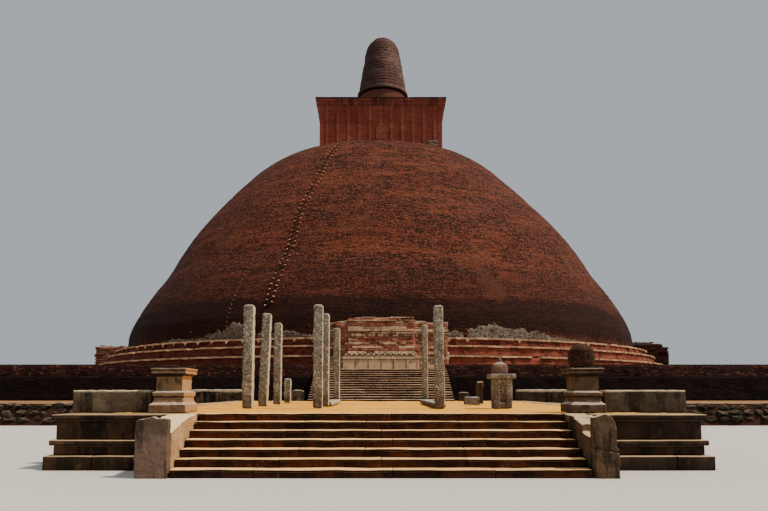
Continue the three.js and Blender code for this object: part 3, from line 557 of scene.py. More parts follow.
def stoneLayingTree():
    sockets = {"Spots": "Geometry", "Stones": "Collection", "Seed": "Int", "Finish": "Material"}
    tree, given = newTree("stoneLaying", sockets, "Laid")
    heap = addNode(tree, "GeometryNodeCollectionInfo", {"transform_space": "ORIGINAL"}, {
        "Collection": given["Stones"], "Separate Children": True, "Reset Children": True})
    size, turn = [
        addNode(tree, "GeometryNodeInputNamedAttribute", {"data_type": "FLOAT_VECTOR"}, {"Name": label})
        for label in ("size", "turn")]
    turned = addNode(tree, "FunctionNodeEulerToRotation", None, {"Euler": turn.outputs["Attribute"]})
    pick = addNode(tree, "FunctionNodeRandomValue", {"data_type": "INT"}, {
        4: 0, 5: 99, "Seed": given["Seed"]})
    laid = addNode(tree, "GeometryNodeInstanceOnPoints", None, {
        "Points": given["Spots"], "Instance": heap.outputs["Instances"], "Pick Instance": True,
        "Instance Index": pick.outputs[2], "Rotation": turned.outputs["Rotation"],
        "Scale": size.outputs["Attribute"]})
    shade = addNode(tree, "FunctionNodeRandomValue", {"data_type": "FLOAT"}, {"Seed": given["Seed"]})
    stored = addNode(tree, "GeometryNodeStoreNamedAttribute", {"data_type": "FLOAT", "domain": "INSTANCE"}, {
        "Geometry": laid.outputs["Instances"], "Name": "tone", "Value": shade.outputs[1]})
    real = addNode(tree, "GeometryNodeRealizeInstances", None, {"Geometry": stored.outputs["Geometry"]})
    done = addNode(tree, "GeometryNodeSetMaterial", None, {
        "Geometry": real.outputs["Geometry"], "Material": given["Finish"]})
    addNode(tree, "NodeGroupOutput", None, {"Laid": done.outputs["Geometry"]})
    return tree


def runTree(piece, tree, values):
    modifier = piece.modifiers.new("building", "NODES")
    modifier.node_group = tree
    for item in tree.interface.items_tree:
        if item.in_out == "INPUT" and item.name in values:
            modifier[item.identifier] = values[item.name]
    return settle(piece)


dressedHeap, roughHeap, wedgeHeap = stoneHeap("dressed"), stoneHeap("rough"), stoneHeap("wedge")
layingTree = stoneLayingTree()


def layStones(name, spots, heap, finish, seed):
    # each spot is a stone's middle, its size along its own axes and its turn
    mesh = bpy.data.meshes.new(name)
    mesh.from_pydata([tuple(spot[0]) for spot in spots], [], [])
    for label, place in (("size", 1), ("turn", 2)):
        layer = mesh.attributes.new(label, "FLOAT_VECTOR", "POINT")
        layer.data.foreach_set("vector", [v for spot in spots for v in spot[place]])
    return runTree(linked(name, mesh), layingTree, {"Stones": heap, "Seed": seed, "Finish": finish})


def turnSpots(spots, turns):
    return [(spin(turns) @ Vector(p), s, (t[0], t[1], t[2] + turns * math.pi / 2)) for p, s, t in spots]


def onEverySide(spots):
    return [spot for turns in range(4) for spot in turnSpots(spots, turns)]


courseHabit = {  # shortest and longest block and the least rest at the end are shares of the mean length
    "shortest": 0.6, "longest": 1.5, "leastRest": 0.4, "leastStart": 0.25, "twist": 0.01,
    "gap": 0.0015, "jitter": 0.002, "keep": 1.0, "proud": 0.0,
}


def layCourse(rng, start, end, low, high, course):
    # blocks side by side from start to end in plan, their faces to the right of that direction
    start, end = Vector(start), Vector(end)
    length = (end - start).length
    ahead = (end - start) / length
    outward = Vector((ahead.y, -ahead.x))
    turn = math.atan2(ahead.y, ahead.x)
    course = {**courseHabit, **course}
    mean, depth, gap, twist = course["length"], course["depth"], course["gap"], course["twist"]
    spots = []
    at = 0.0
    while at < length - mean * course["leastStart"]:
        block = min(mean * rng.uniform(course["shortest"], course["longest"]), length - at)
        if length - at - block < mean * course["leastRest"]:
            block = length - at
        if rng.random() < course["keep"]:
            out = course["proud"] + rng.uniform(-1, 1) * course["jitter"] - depth / 2
            middle = start + ahead * (at + block / 2) + outward * out
            size = (block - gap, depth, high - low - gap)
            turned = (0, 0, turn + rng.uniform(-twist, twist))
            spots.append(((middle.x, middle.y, (low + high) / 2), size, turned))
        at += block
    return spots


wearHabit = {"weld": 0.00002, "broad": 14, "narrow": 4, "fine": 0.3, "loss": 0.45, "smoothing": 2}


def weatheredCopy(name, nodes, wear):
    # the CAD solids again, with edges rounded by wear and faces gone uneven
    pieces = []
    wear = {**wearHabit, **wear}
    swell = wear["swell"]
    for number, node in enumerate(nodes):
        body = bmesh.new()
        body.from_mesh(frame["nodes"][node].data)
        bmesh.ops.remove_doubles(body, verts=body.verts, dist=wear["weld"])
        worn = linked(node + "Worn", meshFrom(body, node + "Worn"))
        remesh = worn.modifiers.new("voxels", "REMESH")
        remesh.mode = "VOXEL"
        remesh.voxel_size = wear["voxel"]
        smooth = worn.modifiers.new("wear", "SMOOTH")
        smooth.factor = 0.5
        smooth.iterations = wear["smoothing"]
        settle(worn)
        drift = Vector((wear["seed"] * 3.7 + number * 1.3, 0, 0))
        low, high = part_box(node)
        moved = []
        for p, normal in [(v.co.copy(), v.normal.copy()) for v in worn.data.vertices]:
            push = softNoise(p + drift, swell * wear["broad"])
            push += softNoise(p + drift, swell * wear["narrow"], 2) * wear["fine"]
            target = p + normal * swell * (push - wear["loss"])
            moved.extend(min(max(target[k], low[k]), high[k]) for k in range(3))
        worn.data.vertices.foreach_set("co", moved)
        worn.data.update()
        worn.data.shade_smooth()
        pieces.append(worn)
    return joinPieces(name, pieces)


# Dome: a skin over the CAD dome's own stations, cut by weather into ledges and gullies

dome = {
    "rows": 176, "columns": 352, "crowding": 1.5, "ledge": 0.008, "gully": 0.014, "roughness": 0.005,
    "inset": 0.004, "climbAzimuth": -18.6, "climbLow": 1.27, "climbHigh": 4.42, "climbPairs": 42,
    "climbWidth": 0.085, "climbStone": (0.027, 0.040, 0.017), "gutterStone": (0.020, 0.03, 0.055),
    "stringAzimuth": -26.0, "stringLow": 0.99, "stringHigh": 3.75, "stringCount": 46,
    "stringStone": (0.010, 0.018, 0.010), "ends": 170, "endSize": (0.016, 0.018, 0.010), "endsFrom": 0.15,
    "endsMargin": 0.5, "tilt": 0.15, "twist": 0.2, "seat": 0.006,
}
climbDrift = ((0.0, 0.0), (0.1, 0.0), (0.27, 0.5), (0.45, 0.1), (0.64, 0.9), (0.85, 0.5), (1.0, 1.9))


def domeStations(leastPoints=45):  # a level with fewer points isn't one of the dome's own rings
    levels = {}
    for vertex in frame["nodes"]["dome"].data.vertices:
        levels.setdefault(round(vertex.co.z, 4), []).append(vertex.co)
    found = []
    for z, points in sorted(levels.items()):
        if len(points) < leastPoints:
            continue
        left, right = min(p.x for p in points), max(p.x for p in points)
        front = min(p.y for p in points)
        found.append((z, max((right - left) / 2, -front), (left + right) / 2))
    return found


stations = domeStations()
domeFoot, domeCrown = stations[0][0], stations[-1][0]


def smoothStation(z):  # radius and lean at any height, on a smooth curve through the stations
    last = len(stations) - 1
    i = max(0, min(last - 1, next((k for k, s in enumerate(stations) if s[0] > z), last + 1) - 1))
    before, after = stations[max(i - 1, 0)], stations[min(i + 2, last)]
    start, end = stations[i], stations[i + 1]
    step = end[0] - start[0]
    t = (z - start[0]) / step
    values = []
    for k in (1, 2):
        slopeIn = (end[k] - before[k]) / max(end[0] - before[0], 1e-6) * step
        slopeOut = (after[k] - start[k]) / max(after[0] - start[0], 1e-6) * step
        values.append((2 * t ** 3 - 3 * t ** 2 + 1) * start[k] + (t ** 3 - 2 * t ** 2 + t) * slopeIn
                      + (-2 * t ** 3 + 3 * t ** 2) * end[k] + (t ** 3 - t ** 2) * slopeOut)
    return values


def domePoint(azimuth, z, inset=0.0):  # azimuth in degrees from the front to the right
    radius, lean = smoothStation(z)
    angle = math.radians(azimuth)
    angle -= math.asin(max(-0.5, min(0.5, lean * math.cos(angle) / radius)))
    return Vector((lean + (radius - inset) * math.sin(angle), -(radius - inset) * math.cos(angle), z))


def domeSkin():
    rows = []
    for r in range(dome["rows"] + 1):
        z = domeFoot + (domeCrown - 0.002 - domeFoot) * (1 - (1 - r / dome["rows"]) ** dome["crowding"])
        radius, lean = smoothStation(z)

        def insetAt(p, _):
            ledge = softNoise(Vector((p.x * 0.5, p.y * 0.5, z * 11)), 1.0, 5)
            gully = softNoise(Vector((p.x, p.y, z * 0.3)) + Vector((9, 0, 0)), 0.8, 4)
            rough = softNoise(Vector((p.x, p.y, z * 2)), 0.05, 3)
            return (dome["ledge"] * max(0, ledge + 0.2) + dome["gully"] * max(0, gully)
                    + dome["roughness"] * abs(rough) + dome["inset"])

        rows.append(roundRow(Vector((lean, 0)), z, radius, dome["columns"], insetAt))
    return rowsPiece("domeSkin", rows)


mountPiece(paint(domeSkin(), domeBrick), "dome_brick", "dome")


def domeStep(azimuth, z, size, rng, sunk):
    tilt, twist = dome["tilt"], dome["twist"]
    turn = (rng.uniform(-tilt, tilt), rng.uniform(-tilt, tilt),
            math.radians(azimuth) + rng.uniform(-twist, twist))
    return (domePoint(azimuth, z, inset=size[1] * (sunk - 0.5) + dome["seat"]), size, turn)


def climbAzimuth(share):  # the line of pairs wanders a little as it climbs
    for (low, before), (high, after) in zip(climbDrift, climbDrift[1:]):
        if share <= high:
            break
    return dome["climbAzimuth"] + before + (after - before) * (share - low) / (high - low)


def domeStones():
    rng = random.Random(11)
    spots, gutter = [], []
    for k in range(dome["climbPairs"]):
        share = k / (dome["climbPairs"] - 1)
        z = between(dome["climbLow"], dome["climbHigh"], share)
        middle = climbAzimuth(share)
        spread = math.degrees(dome["climbWidth"] / 2 / smoothStation(z)[0])
        for side in (-1, 1):
            spots.append(domeStep(middle + side * spread, z + side * 0.022, dome["climbStone"], rng, 0.2))
            gutter.append(domeStep(middle - spread * 0.3, z + side * 0.018, dome["gutterStone"], rng, 0.45))
    for k in range(dome["stringCount"]):
        z = between(dome["stringLow"], dome["stringHigh"], k / (dome["stringCount"] - 1))
        spots.append(domeStep(dome["stringAzimuth"], z, dome["stringStone"], rng, 0.35))
    return spots, gutter


climbSpots, gutterSpots = domeStones()
mountPiece(layStones("domeClimbingStones", climbSpots, roughHeap, copingStone, 3), "stone")
mountPiece(layStones("domeGutterBricks", gutterSpots, roughHeap, domeBrick, 4), "dome_brick")


def brickEnds():  # brick ends that stand out of the weathered face all round
    rng = random.Random(23)
    spots = []
    tall = domeCrown - domeFoot - dome["endsMargin"]
    for _ in range(dome["ends"]):
        z = domeFoot + dome["endsFrom"] + tall * rng.random() ** 1.3
        size = [rng.uniform(0.6, 1.4) * v for v in dome["endSize"]]
        spots.append(domeStep(rng.uniform(-180, 180), z, size, rng, 0.5))
    return spots


mountPiece(layStones("domeBrickEnds", brickEnds(), roughHeap, nicheBrick, 5), "dome_brick")

barePatches = [  # from and to in degrees, and the height of the bared core at evenly spaced places between
    (-44, -31, (0.02, 0.05, 0.07, 0.05, 0.06)),
    (-31, -21.5, (0.06, 0.10, 0.15, 0.20, 0.235, 0.22)),
    (-20, -10, (0.10, 0.08, 0.11, 0.06, 0.04)),
    (9.6, 13, (0.05, 0.10, 0.08)),
    (13.4, 36, (0.12, 0.19, 0.17, 0.15, 0.12, 0.07, 0.05, 0.03)),
    (66, 97, (0.03, 0.11, 0.16, 0.10, 0.04)),
    (124, 160, (0.03, 0.14, 0.19, 0.09, 0.03)),
    (-152, -118, (0.04, 0.12, 0.17, 0.11, 0.03)),
    (-97, -70, (0.03, 0.10, 0.13, 0.05)),
]
core = {
    "columnsPerDegree": 4.2, "rows": 10, "lump": 0.022, "proud": 0.010, "thickness": 0.012, "least": 0.006,
    "chipsPerDegree": 6, "chipLength": (0.012, 0.034), "chipDepth": (0.018, 0.03), "chipHeight": (0.4, 0.7),
}


def patchTop(patch, share):
    start, end, heights = patch
    at = share * (len(heights) - 1)
    i = min(int(at), len(heights) - 2)
    top = between(heights[i], heights[i + 1], at - i)
    ragged = softNoise(Vector((between(start, end, share), 0, 0)), 1.6, 4)
    return max(core["least"], top * (1 + 0.4 * ragged))


def baredCore():
    # the clay-mortared core shows as a lumpy skin just proud of the brick, with a ragged upper edge
    pieces = []
    for number, patch in enumerate(barePatches):
        columns = int((patch[1] - patch[0]) * core["columnsPerDegree"])
        rows = []
        for r in range(core["rows"] + 1):
            row = []
            for c in range(columns + 1):
                share = c / columns
                azimuth = between(patch[0], patch[1], share)
                z = domeFoot + patchTop(patch, share) * r / core["rows"]
                edge = min(1.0, min(share, 1 - share) * columns / 3) * min(1.0, (core["rows"] - r) / 2)
                lump = abs(softNoise(domePoint(azimuth, z), 0.045, 3))
                row.append(domePoint(azimuth, z, inset=0.010 - (core["proud"] + core["lump"] * lump) * edge))
            rows.append(row)
        pieces.append(thicken(rowsPiece(f"core{number}", rows, "open"), core["thickness"]))
    return joinPieces("domeBaredCore", pieces)


mountPiece(paint(baredCore(), mortarRubble), "rubble")


def coreChips():
    rng = random.Random(31)
    spots = []
    for patch in barePatches:
        for _ in range(int((patch[1] - patch[0]) * core["chipsPerDegree"])):
            share = rng.random()
            z = domeFoot + patchTop(patch, share) * rng.random() ** 0.7
            length = rng.uniform(*core["chipLength"])
            size = (length, rng.uniform(*core["chipDepth"]), length * rng.uniform(*core["chipHeight"]))
            spots.append(domeStep(between(patch[0], patch[1], share), z, size, rng, 0.45))
    return spots


mountPiece(layStones("domeCoreChips", coreChips(), roughHeap, mortarRubble, 7), "rubble")
print("stage: dome built")


# Basal rings: brick drums, coping stones in a ring, and small wedge-shaped corbels on the topmost one

rings = {
    "columns": 560, "rough": 0.006, "bite": 0.012, "inset": 0.004, "wallInset": 0.02,
    "wallShares": (0.0, 0.17, 0.35, 0.54, 0.73, 0.90, 1.0),
    "copingLength": 0.09, "copingDepth": 0.085, "copingHeight": 0.022, "copingKeep": 0.95,
    "copingSeat": 0.021, "copingMiddle": 0.0125, "corbelPitch": 0.235, "corbel": (0.055, 0.05, 0.034),
    "corbelIn": 0.012, "corbelDown": 0.040, "corbelKeep": 0.94, "corbelKeepRight": 0.3, "corbelRightFrom": 8,
    "inner": {"lower_ring": 4.86, "middle_ring": 4.74, "upper_ring": 4.5},
}


def ringSizes(node):
    low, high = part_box(node)
    return high.z, low.z, max(v.co.to_2d().length for v in frame["nodes"][node].data.vertices)


def ringSkin(node, seed):
    top, bottom, outer = ringSizes(node)
    drift = Vector((seed * 5.0, 0, 0))
    inner = rings["inner"][node]

    def insetAt(p, _):
        return (rings["rough"] * softNoise(p + drift, 0.12, 4)
                + rings["bite"] * max(0, softNoise(p + drift, 0.7, 3)) + rings["inset"])

    wall = [(share, outer - rings["wallInset"]) for share in rings["wallShares"]]
    loops = [*wall, (1.0, inner), (0.0, inner)]
    rows = [roundRow(Vector((0, 0)), between(bottom, top - rings["copingSeat"], share), radius,
                     rings["columns"], insetAt) for share, radius in loops]
    return rowsPiece(node + "Skin", rows, "looped")


def ringCoping(node, seed):
    rng = random.Random(seed)
    top, _, outer = ringSizes(node)
    spots = []
    angle = 0.0
    while angle < 2 * math.pi:
        length = rings["copingLength"] * rng.uniform(0.55, 1.5)
        angle += length / outer / 2
        if rng.random() < rings["copingKeep"]:
            depth = rings["copingDepth"] * rng.uniform(0.85, 1.1)
            out = outer - depth / 2 - rng.uniform(0.0, 0.006)
            size = (length - 0.002, depth, rings["copingHeight"] * rng.uniform(0.85, 1.1))
            lift = top - rings["copingMiddle"] + rng.uniform(-0.002, 0.001)
            middle = (out * math.sin(angle), -out * math.cos(angle), lift)
            spots.append((middle, size, (rng.uniform(-0.03, 0.03), 0, angle)))
        angle += length / outer / 2
    return spots


def ringCorbels():  # most of them are gone on the right
    rng = random.Random(77)
    top, _, outer = ringSizes("upper_ring")
    count = round(2 * math.pi * outer / rings["corbelPitch"])
    out, level = outer - rings["corbelIn"], top - rings["corbelDown"]
    spots = []
    for k in range(count):
        azimuth = -180 + 360 * k / count
        if rng.random() > rings["corbelKeep" if azimuth < rings["corbelRightFrom"] else "corbelKeepRight"]:
            continue
        angle = math.radians(azimuth)
        size = [v * rng.uniform(0.8, 1.1) for v in rings["corbel"]]
        middle = (out * math.sin(angle), -out * math.cos(angle), level)
        spots.append((middle, size, (0.1, rng.uniform(-0.1, 0.1), angle)))
    return spots


for seed, node in enumerate(rings["inner"]):
    mountPiece(paint(ringSkin(node, seed), ringBrick), "ring_brick", node)
copingSpots = [spot for seed, node in enumerate(rings["inner"]) for spot in ringCoping(node, 40 + seed)]
mountPiece(layStones("ringCoping", copingSpots, dressedHeap, copingStone, 9), "stone")
mountPiece(layStones("ringCorbels", ringCorbels(), wedgeHeap, copingStone, 10), "stone")
print("stage: rings built")


# Chamber: courses between flat pilasters, which lean out with the wall up to the cornice band

chamber = {
    "flareFrom": 5.07, "flareTo": 5.395, "flareOut": 0.048, "courseHeight": 0.043, "groove": 0.007,
    "pilasters": 11, "pitch": 0.199, "width": 0.05, "panelDepth": 0.009, "wear": 0.003, "wearWaves": 18,
    "inset": 0.002, "plinthTop": 4.60, "pilasterTone": 0.62, "panelTone": 0.42,
    "courseRows": ((0.0, 0), (0.66, 0), (0.72, 1)),
}


def chamberRow(z, half, groove):
    middles = [(k - (chamber["pilasters"] - 1) / 2) * chamber["pitch"] for k in range(chamber["pilasters"])]
    marks = [(-half, 0, True)]
    for k, middle in enumerate(middles):
        left, right = middle - chamber["width"] / 2, middle + chamber["width"] / 2
        marks += [(left - 0.001, groove, False), (left, 0, True)]
        marks += [(right, 0, True), (right + 0.001, groove, False)]
        if k < len(middles) - 1:
            gap = middles[k + 1] - chamber["width"] / 2 - right
            marks += [(right + gap * 0.33, groove, False), (right + gap * 0.67, groove, False)]
    row, tones = [], []
    for turns in range(4):
        for along, inset, raised in marks:
            p = spin(turns) @ Vector((along, -half + inset, z))
            shift = noise.noise_vector(p * chamber["wearWaves"]) * chamber["wear"]
            row.append(p + Vector((shift.x, shift.y, 0)))
            tones.append(chamber["pilasterTone" if raised else "panelTone"])
    return row, tones


def chamberSkin():
    low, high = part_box("chamber_body")
    flareFrom, flareTo = chamber["flareFrom"], chamber["flareTo"]
    rows, tones = [], []
    z = low.z
    while z < flareTo - 0.001:
        for share, deep in chamber["courseRows"]:
            level = min(z + chamber["courseHeight"] * share, flareTo)
            flare = max(0.0, (level - flareFrom) / (flareTo - flareFrom))
            inset = 0.0 if level < chamber["plinthTop"] else chamber["panelDepth"] + deep * chamber["groove"]
            row, rowTones = chamberRow(level, high.x - chamber["inset"] + flare * chamber["flareOut"], inset)
            rows.append(row)
            tones += rowTones
        z += chamber["courseHeight"]
    return rowsPiece("chamberSkin", rows, smooth=False, tones=tones)


mountPiece(paint(chamberSkin(), chamberBrick), "chamber_brick", "chamber_body")

cornice = {"courses": 6, "points": 60, "wear": 0.004, "chip": 0.016, "footInset": 0.022, "step": 0.004}


def corniceSkin():
    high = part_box("chamber_cornice")[1]
    low = chamber["flareTo"] - 0.006
    rows = []
    for k in range(cornice["courses"] * 2 + 1):
        share = k / (cornice["courses"] * 2)
        half = high.x - cornice["footInset"] * (1 - share) - (cornice["step"] if k % 2 else 0.0)
        row = []
        for turns in range(4):
            for i in range(cornice["points"]):
                along = -1 + 2 * i / cornice["points"]
                p = spin(turns) @ Vector((along * half, -half, between(low, high.z, share)))
                chip = cornice["chip"] * max(0.0, softNoise(p, 0.1, 3) - 0.2) * (0.3 + share)
                inward = Vector((-p.x, -p.y, 0)).normalized()
                row.append(p + inward * (chip + cornice["wear"] * abs(softNoise(p, 0.03, 2))))
        rows.append(row)
    return rowsPiece("corniceSkin", rows, smooth=False)


mountPiece(paint(corniceSkin(), corniceBrick), "chamber_brick", "chamber_cornice")

niche = {"half": 0.086, "least": 0.015, "bottom": 4.77, "shoulder": 5.00, "course": 0.0215, "corbel": 0.02}
nicheCourse = {"length": 0.05, "depth": 0.04, "gap": 0.002, "jitter": 0.001}
chamberFace = -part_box("chamber_body")[1].x


def nicheSpots():
    rng = random.Random(5)
    spots = []
    z, half = niche["bottom"], niche["half"]
    while half > niche["least"]:
        ends = (-half, chamberFace), (half, chamberFace)
        spots += layCourse(rng, *ends, z, z + niche["course"], nicheCourse)
        z += niche["course"]
        if z > niche["shoulder"]:
            half -= niche["corbel"]
    return onEverySide(spots)


mountPiece(layStones("chamberNiches", nicheSpots(), dressedHeap, nicheBrick, 12), "chamber_brick")

mend = {"left": 0.87, "right": 1.05, "bottom": 4.65, "course": 0.024, "courses": 4, "slant": 0.004}


def mendSpots():  # a cement repair low on the front face
    rng = random.Random(9)
    face = chamberFace - 0.001
    spots = []
    for k in range(mend["courses"]):
        low = mend["bottom"] + mend["course"] * k
        ends = (mend["left"] + mend["slant"] * k, face), (mend["right"], face)
        spots += layCourse(rng, *ends, low, low + mend["course"], {"length": 0.06, "depth": 0.04})
    return spots


mountPiece(layStones("chamberMend", mendSpots(), dressedHeap, mortarRubble, 13), "chamber_brick")
print("stage: chamber built")


# Spire: a drum with a lip, and a cone of ring courses with a broken crown

spire = {
    "columns": 150, "rowHeight": 0.0105, "coursePitch": 0.065, "groove": 0.012, "grooveFrom": 0.74,
    "ripple": 0.12, "wear": 0.007, "bite": 0.012, "inset": 0.003, "crownFrom": 7.12, "crownRag": 0.07,
    "drumRow": 0.016, "drumWear": 0.005, "lipLeast": 0.01,
}


def middleOf(node):
    low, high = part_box(node)
    return ((low + high) / 2).to_2d()


def profileOf(node, middle):
    levels = {}
    for vertex in frame["nodes"][node].data.vertices:
        z = round(vertex.co.z, 4)
        levels.setdefault(z, []).append((vertex.co.to_2d() - middle).length)
    return [(z, min(radii), max(radii)) for z, radii in sorted(levels.items())]


def outerProfile(node, middle):  # the outer edges of the ring courses only
    hull = []
    for z, _, radius in profileOf(node, middle):
        while len(hull) > 1:
            (z0, r0), (z1, r1) = hull[-2:]
            if (r1 - r0) * (z - z0) >= (radius - r0) * (z1 - z0):
                break
            hull.pop()
        hull.append((z, radius))
    return hull


def radiusAt(profile, z):
    for (z0, r0), (z1, r1) in zip(profile, profile[1:]):
        if z0 <= z <= z1:
            return r0 + (r1 - r0) * (z - z0) / max(z1 - z0, 1e-6)
    return profile[-1][1]


def spireSkin():
    middle = middleOf("spire_drum")
    profile = outerProfile("spire", middle)
    low, high = profile[0][0], profile[-1][0]
    rows = []
    z = low + 0.001
    while z < high - 0.006:
        phase = ((z - low) % spire["coursePitch"]) / spire["coursePitch"]
        deep = 1.0 if phase > spire["grooveFrom"] else spire["ripple"] * math.sin(phase * 24) ** 2
        groove = spire["groove"] * deep
        crown = max(0.0, (z - spire["crownFrom"]) / (high - spire["crownFrom"]))

        def insetAt(p, ray):
            bite = (spire["wear"] * softNoise(p, 0.06, 4)
                    + spire["bite"] * max(0, softNoise(p + Vector((3, 0, 0)), 0.25, 3)))
            rag = crown * spire["crownRag"] * max(0.0, softNoise(Vector((ray.x, ray.y, 0)), 0.4, 3) + 0.1)
            return groove * (0.6 + 0.5 * abs(softNoise(p, 0.2, 2))) + bite + rag + spire["inset"]

        rows.append(roundRow(middle, z, radiusAt(profile, z), spire["columns"], insetAt))
        z += spire["rowHeight"]
    rows.append(roundRow(middle, high - 0.001, 0.03, spire["columns"], lambda p, ray: 0.0))
    return rowsPiece("spireSkin", rows)


def drumSkin():
    middle = middleOf("spire_drum")
    levels = profileOf("spire_drum", middle)
    feet = [(z + 0.001, narrow) for z, narrow, widest in levels if widest - narrow > spire["lipLeast"]]
    profile = sorted([*[(z, widest) for z, _, widest in levels], *feet])
    wear = spire["drumWear"]
    rows = []
    for (z0, r0), (z1, r1) in zip(profile, profile[1:]):
        steps = max(1, round((z1 - z0) / spire["drumRow"]))
        for k in range(steps):
            level, radius = z0 + (z1 - z0) * k / steps, r0 + (r1 - r0) * k / steps
            rows.append(roundRow(middle, level, radius, spire["columns"],
                                 lambda p, ray: wear * softNoise(p, 0.05, 3) + wear))
    rows.append(roundRow(middle, *profile[-1], spire["columns"], lambda p, ray: 0.006))
    return rowsPiece("drumSkin", rows)


mountPiece(paint(spireSkin(), spireBrick), "spire_brick", "spire")
mountPiece(paint(drumSkin(), spireBrick), "spire_brick", "spire_drum")
print("stage: spire built")


# Frontispieces: a rough core, and courses of stone and brick laid block by block on its visible faces

frontCourses = [  # from the bottom: height in metres, kind, how far it stands out, share of blocks left
    (0.050, "brick", 0.000, 1.0), (0.050, "brick", 0.000, 1.0), (0.050, "stone", 0.004, 1.0),
    (0.050, "stone", 0.004, 1.0), (0.035, "stone", 0.010, 1.0), (0.020, "gap", 0.0, 0.0),
    (0.032, "stone", 0.012, 0.95), (0.012, "gap", 0.0, 0.0), (0.022, "brick", 0.000, 0.9),
    (0.022, "stone", 0.006, 0.5), (0.018, "brick", 0.000, 1.0), (0.024, "stone", 0.004, 0.55),
    (0.020, "brick", 0.000, 1.0), (0.022, "stone", 0.002, 0.35), (0.016, "brick", 0.002, 1.0),
    (0.034, "frieze", 0.008, 0.85), (0.012, "slab", 0.016, 0.9), (0.012, "gap", 0.0, 0.0),
    (0.026, "stone", 0.008, 0.9), (0.026, "stone", 0.004, 0.85), (0.010, "gap", 0.0, 0.0),
    (0.026, "brick", 0.000, 1.0), (0.024, "stone", 0.000, 0.45), (0.012, "slab", 0.014, 0.85),
    (0.020, "brick", 0.004, 0.7), (0.014, "slab", 0.010, 0.45),
]
frontKinds = {
    "brick": {"length": 0.05, "depth": 0.04}, "stone": {"length": 0.07, "depth": 0.045},
    "frieze": {"length": 0.028, "depth": 0.05, "gap": 0.006, "jitter": 0.004},
    "slab": {"length": 0.12, "depth": 0.05},
}
frontPlan = {
    "half": 0.725, "shoulder": 0.49, "centre": 0.354, "wingShare": 0.925, "skin": 0.006, "back": -4.66,
    "inset": 0.012, "wingIn": 0.08, "shoulderIn": 0.04, "topInset": 0.002, "slack": 0.004,
    "brokenBand": 0.075, "looseShare": 0.92, "looseHalf": 0.69, "looseFrom": 0.13, "looseTo": -4.75,
    "looseHeight": 0.018,
}
frontispieces = {
    "front": {"seed": 51, "patchy": 0.85, "voxel": 0.021, "broken": 0.0, "stretch": 1.0, "loose": 90},
    "right": {"seed": 52, "patchy": 0.6, "voxel": 0.035, "broken": 0.11, "stretch": 1.5, "loose": 45},
    "back": {"seed": 53, "patchy": 0.65, "voxel": 0.035, "broken": 0.11, "stretch": 1.5, "loose": 45},
    "left": {"seed": 54, "patchy": 0.6, "voxel": 0.035, "broken": 0.0, "stretch": 1.5, "loose": 45},
}


def frontispieceSpots(node, choice):
    rng = random.Random(choice["seed"])
    low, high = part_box(node)
    reach = max(-low.y, high.x, high.y, -low.x) - frontPlan["inset"]
    bottom, top = low.z, high.z - frontPlan["topInset"]
    scale = (top - bottom) / sum(course[0] for course in frontCourses)
    wingTop = between(bottom, top, frontPlan["wingShare"])
    half, shoulder, centre, back = (frontPlan[key] for key in ("half", "shoulder", "centre", "back"))
    wing, step = -reach + frontPlan["wingIn"], -reach + frontPlan["shoulderIn"]
    runs = [
        ((-half, back), (-half, wing), wingTop), ((-half, wing), (-shoulder, wing), wingTop),
        ((-shoulder, step), (-centre, step), wingTop), ((-centre, -reach), (centre, -reach), top),
        ((centre, step), (shoulder, step), wingTop), ((shoulder, wing), (half, wing), wingTop),
        ((half, wing), (half, back), wingTop),
    ]
    laid = {"stone": [], "brick": []}
    for start, end, limit in runs:
        z = bottom
        for height, kind, proud, keep in frontCourses:
            height *= scale
            if z + height > limit + frontPlan["slack"]:
                break
            if kind != "gap":
                a, b = Vector(start), Vector(end)
                if choice["broken"] and z > wingTop - frontPlan["brokenBand"]:  # the edge has fallen away
                    a.y, b.y = (max(y, wing + choice["broken"]) for y in (a.y, b.y))
                course = {**frontKinds[kind], "proud": proud + frontPlan["skin"]}
                course["keep"] = keep if limit == top or keep == 1.0 else keep * choice["patchy"]
                course["length"] *= choice["stretch"]
                laid["brick" if kind == "brick" else "stone"] += layCourse(rng, a, b, z, z + height, course)
            z += height
    level = between(bottom, top, frontPlan["looseShare"])
    across = frontPlan["looseHalf"]
    for _ in range(choice["loose"]):  # bricks left lying where the upper courses have gone
        length = rng.uniform(0.02, 0.05)
        middle = (rng.uniform(-across, across),
                  rng.uniform(wing + frontPlan["looseFrom"], frontPlan["looseTo"]),
                  level + rng.uniform(0.002, 0.016))
        turn = (rng.uniform(-0.3, 0.3), 0, rng.uniform(0, 3))
        laid["brick"].append((middle, (length, length * 0.7, frontPlan["looseHeight"]), turn))
    return laid


for side, choice in frontispieces.items():
    node, seed = "frontispiece_" + side, choice["seed"]
    wear = {"voxel": choice["voxel"], "swell": 0.005, "seed": seed}
    # painted shade: the right-hand frontispiece gets the dark retaining-wall brick on every face
    finish = retainingBrick if side == "right" else frontBrick
    stoneFinish = frontStone if side == "front" else finish
    mountPiece(paint(weatheredCopy(node + "Core", [node], wear), finish), "ring_brick", node)
    laid = frontispieceSpots(node, choice)
    stones, bricks = (turnSpots(laid[kind], quarterTurns[side]) for kind in ("stone", "brick"))
    mountPiece(layStones(node + "Stones", stones, dressedHeap, stoneFinish, seed), "stone")
    mountPiece(layStones(node + "Bricks", bricks, dressedHeap, finish, seed + 9), "ring_brick")

